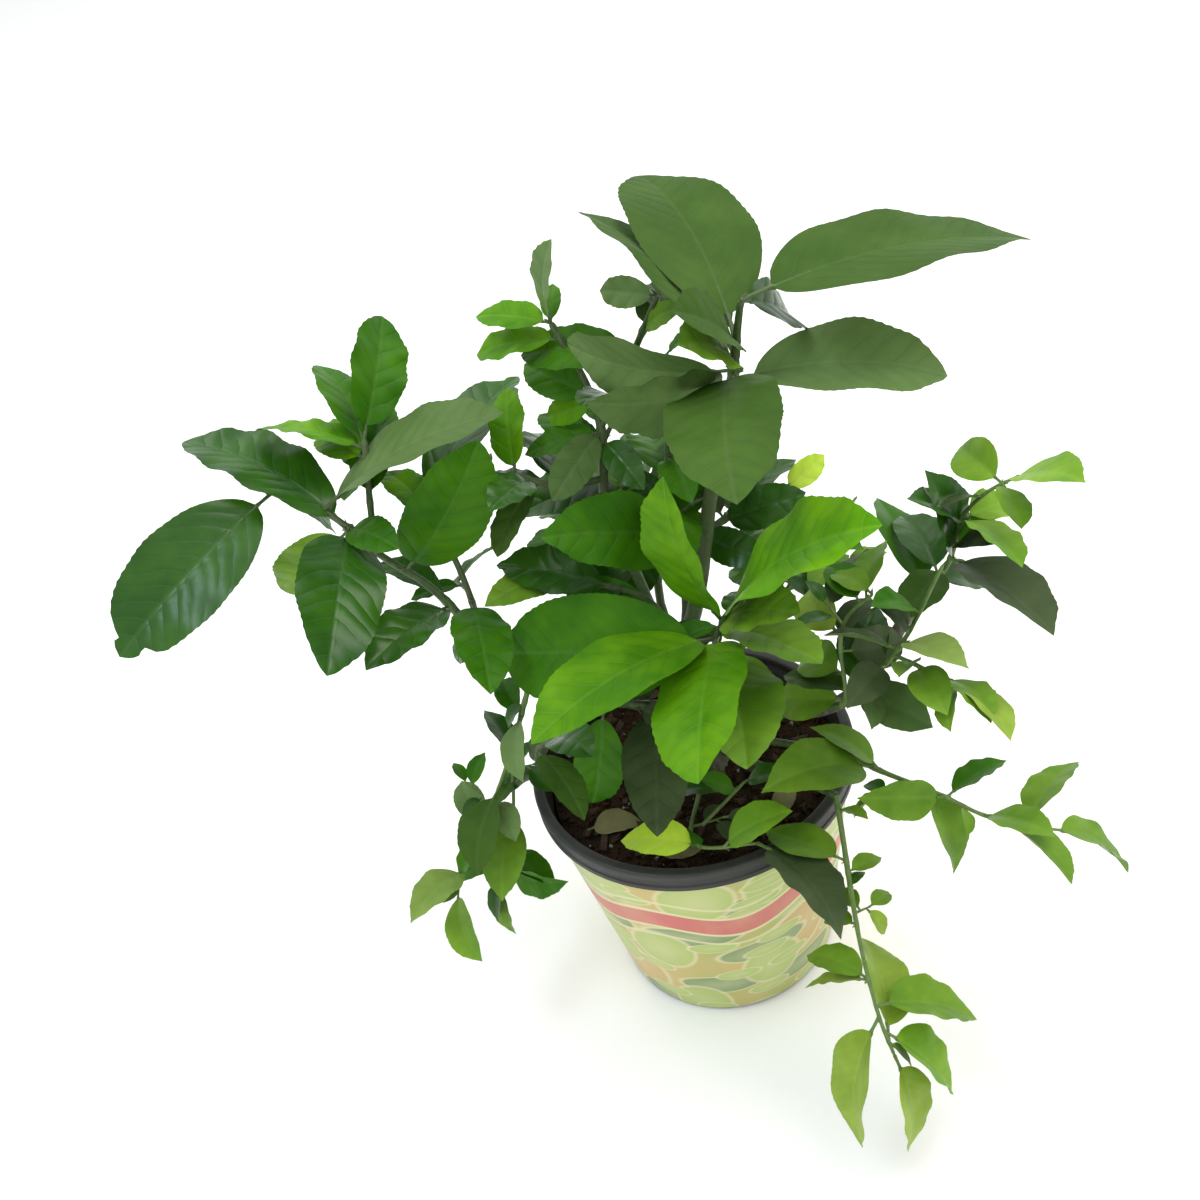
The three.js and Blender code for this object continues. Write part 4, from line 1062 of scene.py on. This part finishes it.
# Leaf: its face rises to both edges from the midrib, waves at the edge, twists, arches along its length and
# bends sideways. The blade is a thin closed shell: both faces meet at the edge. The rib starts as the
# petiole and runs on under the blade.
def makeLeaf(base, tip, normal, kind, random, toneIndex, bites=0.0):
    look, shape = kinds[kind], leafShape
    length = np.linalg.norm(tip - base)
    along = (tip - base) / length
    normal = unit(normal - (normal @ along) * along)
    across = np.cross(along, normal)
    petiole = look["petiole"]
    rows = int(np.clip(2 * round((1 - petiole) * length / look["toothStep"]), *shape["rows"]))
    reach = next(reach for least, reach in shape["columns"] if length > least)
    s = np.array([*(-k for k in reversed(reach)), 0, *reach])[None]
    u = np.linspace(0, 1, rows + 1)[:, None]
    t = petiole + (1 - petiole) * u
    half = bladeHalf(look, length, u, s, random, bites)
    edge = teeth(look, length, u) * (np.abs(s) == 1)
    x, y = (half + edge) * s, t * length + 0.9 * edge
    fold = math.tan(math.radians(random.uniform(*look["fold"])))
    waving = look["wave"] * random.uniform(*shape["waveSpread"]) * min(1, shape["waveLength"] / length)
    count, phases = random.uniform(*shape["waveCount"]), random.uniform(0, 2 * np.pi, 2)
    ripple = np.sin(2 * np.pi * count * u ** shape["wavePower"] + np.where(s > 0, phases[0], phases[1]))
    z = fold * np.abs(x) * (1 - shape["flatten"] * np.abs(s)) + waving * half * s**2 * ripple
    twist = np.radians(shape["twist"]) * random.uniform(-1, 1) * (u - shape["twistFrom"])
    x, z = turned(x, z, twist)
    bend = look["bend"] * random.uniform(-1, 1) * length
    lift = 4 * shape["arch"] * length * t * (1 - t) * random.uniform(*shape["archSpread"])
    lift = lift - look["droop"] * length * random.uniform(0, 1) * u**3

    def place(forward, right, up):
        return base + forward[..., None] * along + right[..., None] * across + up[..., None] * normal

    upper = place(y + 0 * s, x + 4 * bend * t * (1 - t), z + lift)
    thick = shape["thick"] * (0.7 + 0.3 * min(1, length / shape["thickLength"]))
    lower = (upper - thick * (1 - s[..., None] ** 4) * normal)[1:-1, 1:-1]
    index = np.arange(x.size).reshape(x.shape)
    under = index.copy()
    under[1:-1, 1:-1] = index.size + np.arange(lower[..., 0].size).reshape(lower.shape[:2])
    chart = np.stack([0.5 + x / 100, u * length / 100 + 0 * s], -1).reshape(-1, 2)[cells(index)]
    back = [0, 3, 2, 1]
    blade = {"points": np.concatenate([upper.reshape(-1, 3), lower.reshape(-1, 3)]),
             "faces": [cells(index), cells(under)[:, back]], "uv": [chart, chart[:, back] + [1, 0]],
             "looks": [toneIndex, toneIndex]}
    ribAt, ribWide = np.array(shape["rib"]).T
    ribAt = ribAt * petiole
    ribRadii = (shape["ribRadius"] + shape["ribPerLength"] * length) * ribWide
    ribLift = np.interp(ribAt, t[:, 0], lift[:, 0]) * np.clip(ribAt / petiole, 0, 1)
    ribLift = ribLift - np.where(ribAt > petiole, shape["ribSunk"] * ribRadii + 0.3 * thick, 0)
    rib = tube(place(ribAt * length, 4 * bend * ribAt * (1 - ribAt), ribLift), ribRadii, shape["ribSides"])
    return blade, rib


# Spike for a bud or a thorn: at each share of its length, a share of its radius.
def spike(foot, way, length, radius):
    along, wide = np.array([(0, 0.75), (0.3, 1), (0.62, 0.72), (0.85, 0.38), (1, 0.08)]).T
    return tube(foot + along[:, None] * length * way, radius * wide, 6)


# The source's rule for one mass: its stems as lines, and its leaves, first the shown ones and then the drawn.
def growMass(mass):
    random = seededNumbers(mass["seed"])
    short, long = kinds[mass["kind"]]["size"]
    lines, leaves = [], []
    for stem in mass["stems"]:
        origin = mass["start"] if "start" in mass else pointAlong(sourceLine, mass["onTrunk"])
        points = walk(pointAlong(lines[0], stem.get("from", 0)) if lines else origin, stem["path"])
        lines.append(points)
        for tone, share, heading, rise, roll, length in stem["shown"]:
            leaves.append((len(lines) - 1, pointAlong(points, share), heading, rise, roll, length, tone))
    firstTurn = 360 * next(random)
    rule = drawnLeaf
    for i in range(mass["rest"]):
        points = lines[i % len(lines)]
        share = rule["from"] + rule["span"] * (i + next(random)) / mass["rest"]
        heading = firstTurn + rule["turn"] * i + rule["turnSpread"] * (next(random) - 0.5)
        rise = rule["rises"] * next(random) + rule["lowest"]
        length = short + (long - short) * next(random) ** rule["lengthPower"]
        roll = rule["rollSpread"] * (next(random) - 0.5)
        tone = mass["restTones"][i % len(mass["restTones"])]
        leaves.append((i % len(lines), pointAlong(points, share), heading, rise, roll, length, tone))
    return lines, leaves


# Corners of a solid of the frame, to tell which leaves stand in it.
def cornersOf(node):
    vertices = frame["nodes"][node].data.vertices
    tree = KDTree(len(vertices))
    for vertex in vertices:
        tree.insert(vertex.co, vertex.index)
    tree.balance()
    return tree


# Surface of parts, to tell where another shape runs through them.
def surfaceOf(parts):
    points = np.concatenate([part["points"] for part in parts])
    offsets = np.cumsum([0] + [len(part["points"]) for part in parts])
    faces = []
    for part, offset in zip(parts, offsets):
        for block in part["faces"]:
            faces += (block + offset).tolist()
    return BVHTree.FromPolygons(points.tolist(), faces)


# Leaf with its roll eased: of the allowed turns, the one with the least crossings of the other shapes plus a
# cost for each degree.
def easedLeaf(base, tip, angles, kind, seed, toneIndex, bites, others):
    best = None
    heading, rise, roll = angles
    for k, turn in enumerate(leafShape["easing"]):
        normal = leafAxes(heading, rise, roll + turn)[1]
        random = np.random.default_rng((*seed, k))
        blade, rib = makeLeaf(base, tip, normal, kind, random, toneIndex, bites)
        shell = surfaceOf([blade])
        cost = sum(len(shell.overlap(other)) for other in others) + leafShape["easingCost"] * abs(turn)
        if best is None or cost < best[0]:
            best = (cost, blade, rib, shell)
    return best[1:]


# Joints on the twigs: a bud over each leaf, now and then a thorn beside it, and a swelling of the twig. A
# leaf is kept where its tip is within "match" of a corner of the mass's solid.
jointShape = {"match": 0.6, "lean": -30, "ways": (0.6, 0.5, 0.2), "budLength": 1.5, "budPerRadius": 1.4,
              "budRadius": 0.55, "thornShare": 0.35, "thornSpread": (0.7, 1.4), "thornRadius": 0.4,
              "swell": 0.16, "swellReach": 1.8}


# Bud and maybe a thorn at a joint: the bud's way is a mix of the leaf's, the twig's own one ahead and the
# way out of the leaf's face, leaned over.
def jointSpikes(foot, ahead, angles, look, random):
    p, (heading, rise, roll) = jointShape, angles
    along, normal = leafAxes(heading, rise, roll + p["lean"])
    radius = look["twig"][1]
    onLeaf, onTwig, outwards = p["ways"]
    way = unit(onLeaf * along + onTwig * ahead + outwards * normal)
    length = p["budLength"] + p["budPerRadius"] * radius
    spikes = [spike(foot + 0.5 * radius * way, way, length, p["budRadius"] * radius)]
    if random.random() < p["thornShare"]:
        way = unit(way + 0.6 * np.cross(along, normal) * random.choice([-1, 1]))
        length = look["thorn"] * random.uniform(*p["thornSpread"]) + radius
        spikes.append(spike(foot, way, length, p["thornRadius"] * radius))
    return spikes


# Finer shoots: each leaves its twig backwards within "spread" degrees, with three small leaves.
shootShape = {"from": 0.25, "span": 0.7, "back": 90, "spread": 115, "rises": (-25, 40), "points": 6,
              "sag": (-2, 3), "leafAt": (2, 4, 5), "leafTurn": (70, -70, 0), "leafTurnSpread": (-25, 25),
              "leafRise": (-35, 15), "leafRoll": (-30, 30)}


# One finer shoot from a share of its part of a twig: its leaves as (blade, rib) pairs, and the shoot itself.
def makeShoot(path, share, kind, random, toneIndices):
    p, look = shootShape, kinds[kind]
    near = int((p["from"] + p["span"] * share) * (len(path) - 1))
    heading, rise = p["back"] + random.uniform(-1, 1) * p["spread"], random.uniform(*p["rises"])
    t = np.linspace(0, 1, p["points"])
    line = path[near] + t[:, None] * random.uniform(*look["shoot"]) * direction(heading, rise)
    line[:, 2] += t**2 * random.uniform(*p["sag"])
    leaves = []
    for at, turn, toneIndex in zip(p["leafAt"], p["leafTurn"], toneIndices):
        along, normal = leafAxes(heading + turn + random.uniform(*p["leafTurnSpread"]),
                                 rise + random.uniform(*p["leafRise"]), random.uniform(*p["leafRoll"]))
        tip = line[at] + random.uniform(*look["shootLeaf"]) * along
        leaves.append(makeLeaf(line[at], tip, normal, kind, random, toneIndex))
    thin = look["twig"][1]
    return leaves, tube(line, np.linspace(thin, 0.5 * thin, p["points"]), 6)


# Twigs: later ones are branches of the first; the relief's waves are (pitch, turns, count).
twigShape = {"step": 1.8, "sides": 10, "branch": 0.75, "end": 0.6, "relief": 0.05, "ridges": (30.0, 4, 6)}


# Twig of a mass: it tapers, swells at its joints by bell curves and has a little relief.
def makeTwig(path, joints, first, look, seed):
    p, s = twigShape, lengthsAlong(path)
    thick, thin = look["twig"]
    thick = thick if first else p["branch"] * thick
    radii = thick + (thin - thick) * s / s[-1]
    for near in joints:
        radii = radii * (1 + jointShape["swell"] * np.exp(-((s - s[near]) / jointShape["swellReach"]) ** 2))
    radii[-1] *= p["end"]
    relief = 1 + p["relief"] * waves(s[:, None], turnsOf(p["sides"])[None], seed, *p["ridges"])
    return tube(path, radii, p["sides"], relief)


# Grows one mass on from its bough, clear of the shapes taken so far: twigs, leaves with their petioles, buds
# and thorns, and finer shoots inside the solids' box where nothing is in their way.
def makeMass(name, mass, taken):
    kind, look = mass["kind"], kinds[mass["kind"]]
    random = np.random.default_rng(mass["seed"])
    lines, leaves = growMass(mass)
    corners = cornersOf(name)
    letters = sorted({row[0] for stem in mass["stems"] for row in stem["shown"]} | set(mass["restTones"]))
    paths = [smoothPath(line, twigShape["step"]) for line in lines]
    blades, twigs, shells, joints = [], [], [], [[] for line in lines]
    for index, (stem, base, *angles, length, tone) in enumerate(leaves):
        tip = base + length * direction(*angles[:2])
        if corners.find(tip * mm)[2] > jointShape["match"] * mm:
            continue
        near = np.linalg.norm(paths[stem] - base, axis=1).argmin()
        joints[stem].append(near)
        foot, ahead = paths[stem][near], unit(np.gradient(paths[stem], axis=0))[near]
        bites = look["bites"] if tone == "d" and length > leafShape["biteLength"] else 0.0
        blade, rib, shell = easedLeaf(foot, tip, angles, kind, (mass["seed"], index), letters.index(tone),
                                      bites, taken + shells)
        shells.append(shell)
        blades.append(blade)
        twigs += [rib, *jointSpikes(foot, ahead, angles, look, random)]
    grown = len(blades)
    solid = surfaceOf(blades)
    tones = mass["restTones"]
    for i in range(mass["finer"]):
        toneIndices = [letters.index(tones[(i + k) % len(tones)]) for k in range(3)]
        share = (i + random.random()) / mass["finer"]
        shoot, twig = makeShoot(paths[i % len(paths)], share, kind, random, toneIndices)
        reach = np.concatenate([blade["points"] for blade, rib in shoot]) * mm
        if (reach.min(0) < cadBox[0]).any() or (reach.max(0) > cadBox[1]).any():
            continue
        test = surfaceOf([blade for blade, rib in shoot])
        if any(test.overlap(other) for other in taken + [solid]):
            continue
        blades += [blade for blade, rib in shoot]
        twigs += [rib for blade, rib in shoot] + [twig]
        solid = surfaceOf(blades)
    for k, path in enumerate(paths):
        twigs.append(makeTwig(path, joints[k], k == 0, look, mass["seed"] + k))
    makePiece(name.replace("foliage", "twigs"), twigs, [shootMaterial if kind == "lime" else greenMaterial],
              [name], 50)
    makePiece(name.replace("foliage", "leaves"), blades, [leafMaterials[kind, letter] for letter in letters],
              [name], 62)
    small = len(blades) - grown
    print(name.replace("_", " ") + ":", grown, "leaves of", len(leaves), "and", small, "small ones")
    return solid


# Shapes that leaves keep clear of: pot, sleeve, soil, trunk and limbs, then each mass as it is grown
solidPieces = ("_limb", "grafted_trunk", "nursery_pot", "printed_sleeve", "soil_bed")
taken = [surfaceOf([partOf(piece.data, mm)]) for piece in bpy.data.objects
         if piece.name.endswith(solidPieces)]
for name, mass in masses.items():
    taken.append(makeMass(name, mass, taken))

# Litter: dry leaves that lie on the soil, each from its foot's (x, y) along a heading, with its length
litter = {"leaves": ((-64, -30, -10, 32), (-30, -56, -8, 26), (38, -52, 62, 24), (-12, 62, 150, 28)),
          "seed": 12, "lift": 1.6, "rise": 2, "roll": 8}


# Litter: flat-lying leaves of the lime kind, a little over the soil.
def makeLitter(p):
    parts = []
    for k, (x, y, heading, length) in enumerate(p["leaves"]):
        base = np.array([x, y, soilHeight(x, y) + p["lift"]])
        along, normal = leafAxes(heading, p["rise"], p["roll"])
        random = np.random.default_rng((p["seed"], k))
        parts += makeLeaf(base, base + length * along, normal, "lime", random, 0)
    makePiece("dry_leaves", parts, [leafMaterials["lime", "t"]], ["potting_soil"], 62)


makeLitter(litter)
print("litter:", len(litter["leaves"]), "dry leaves")
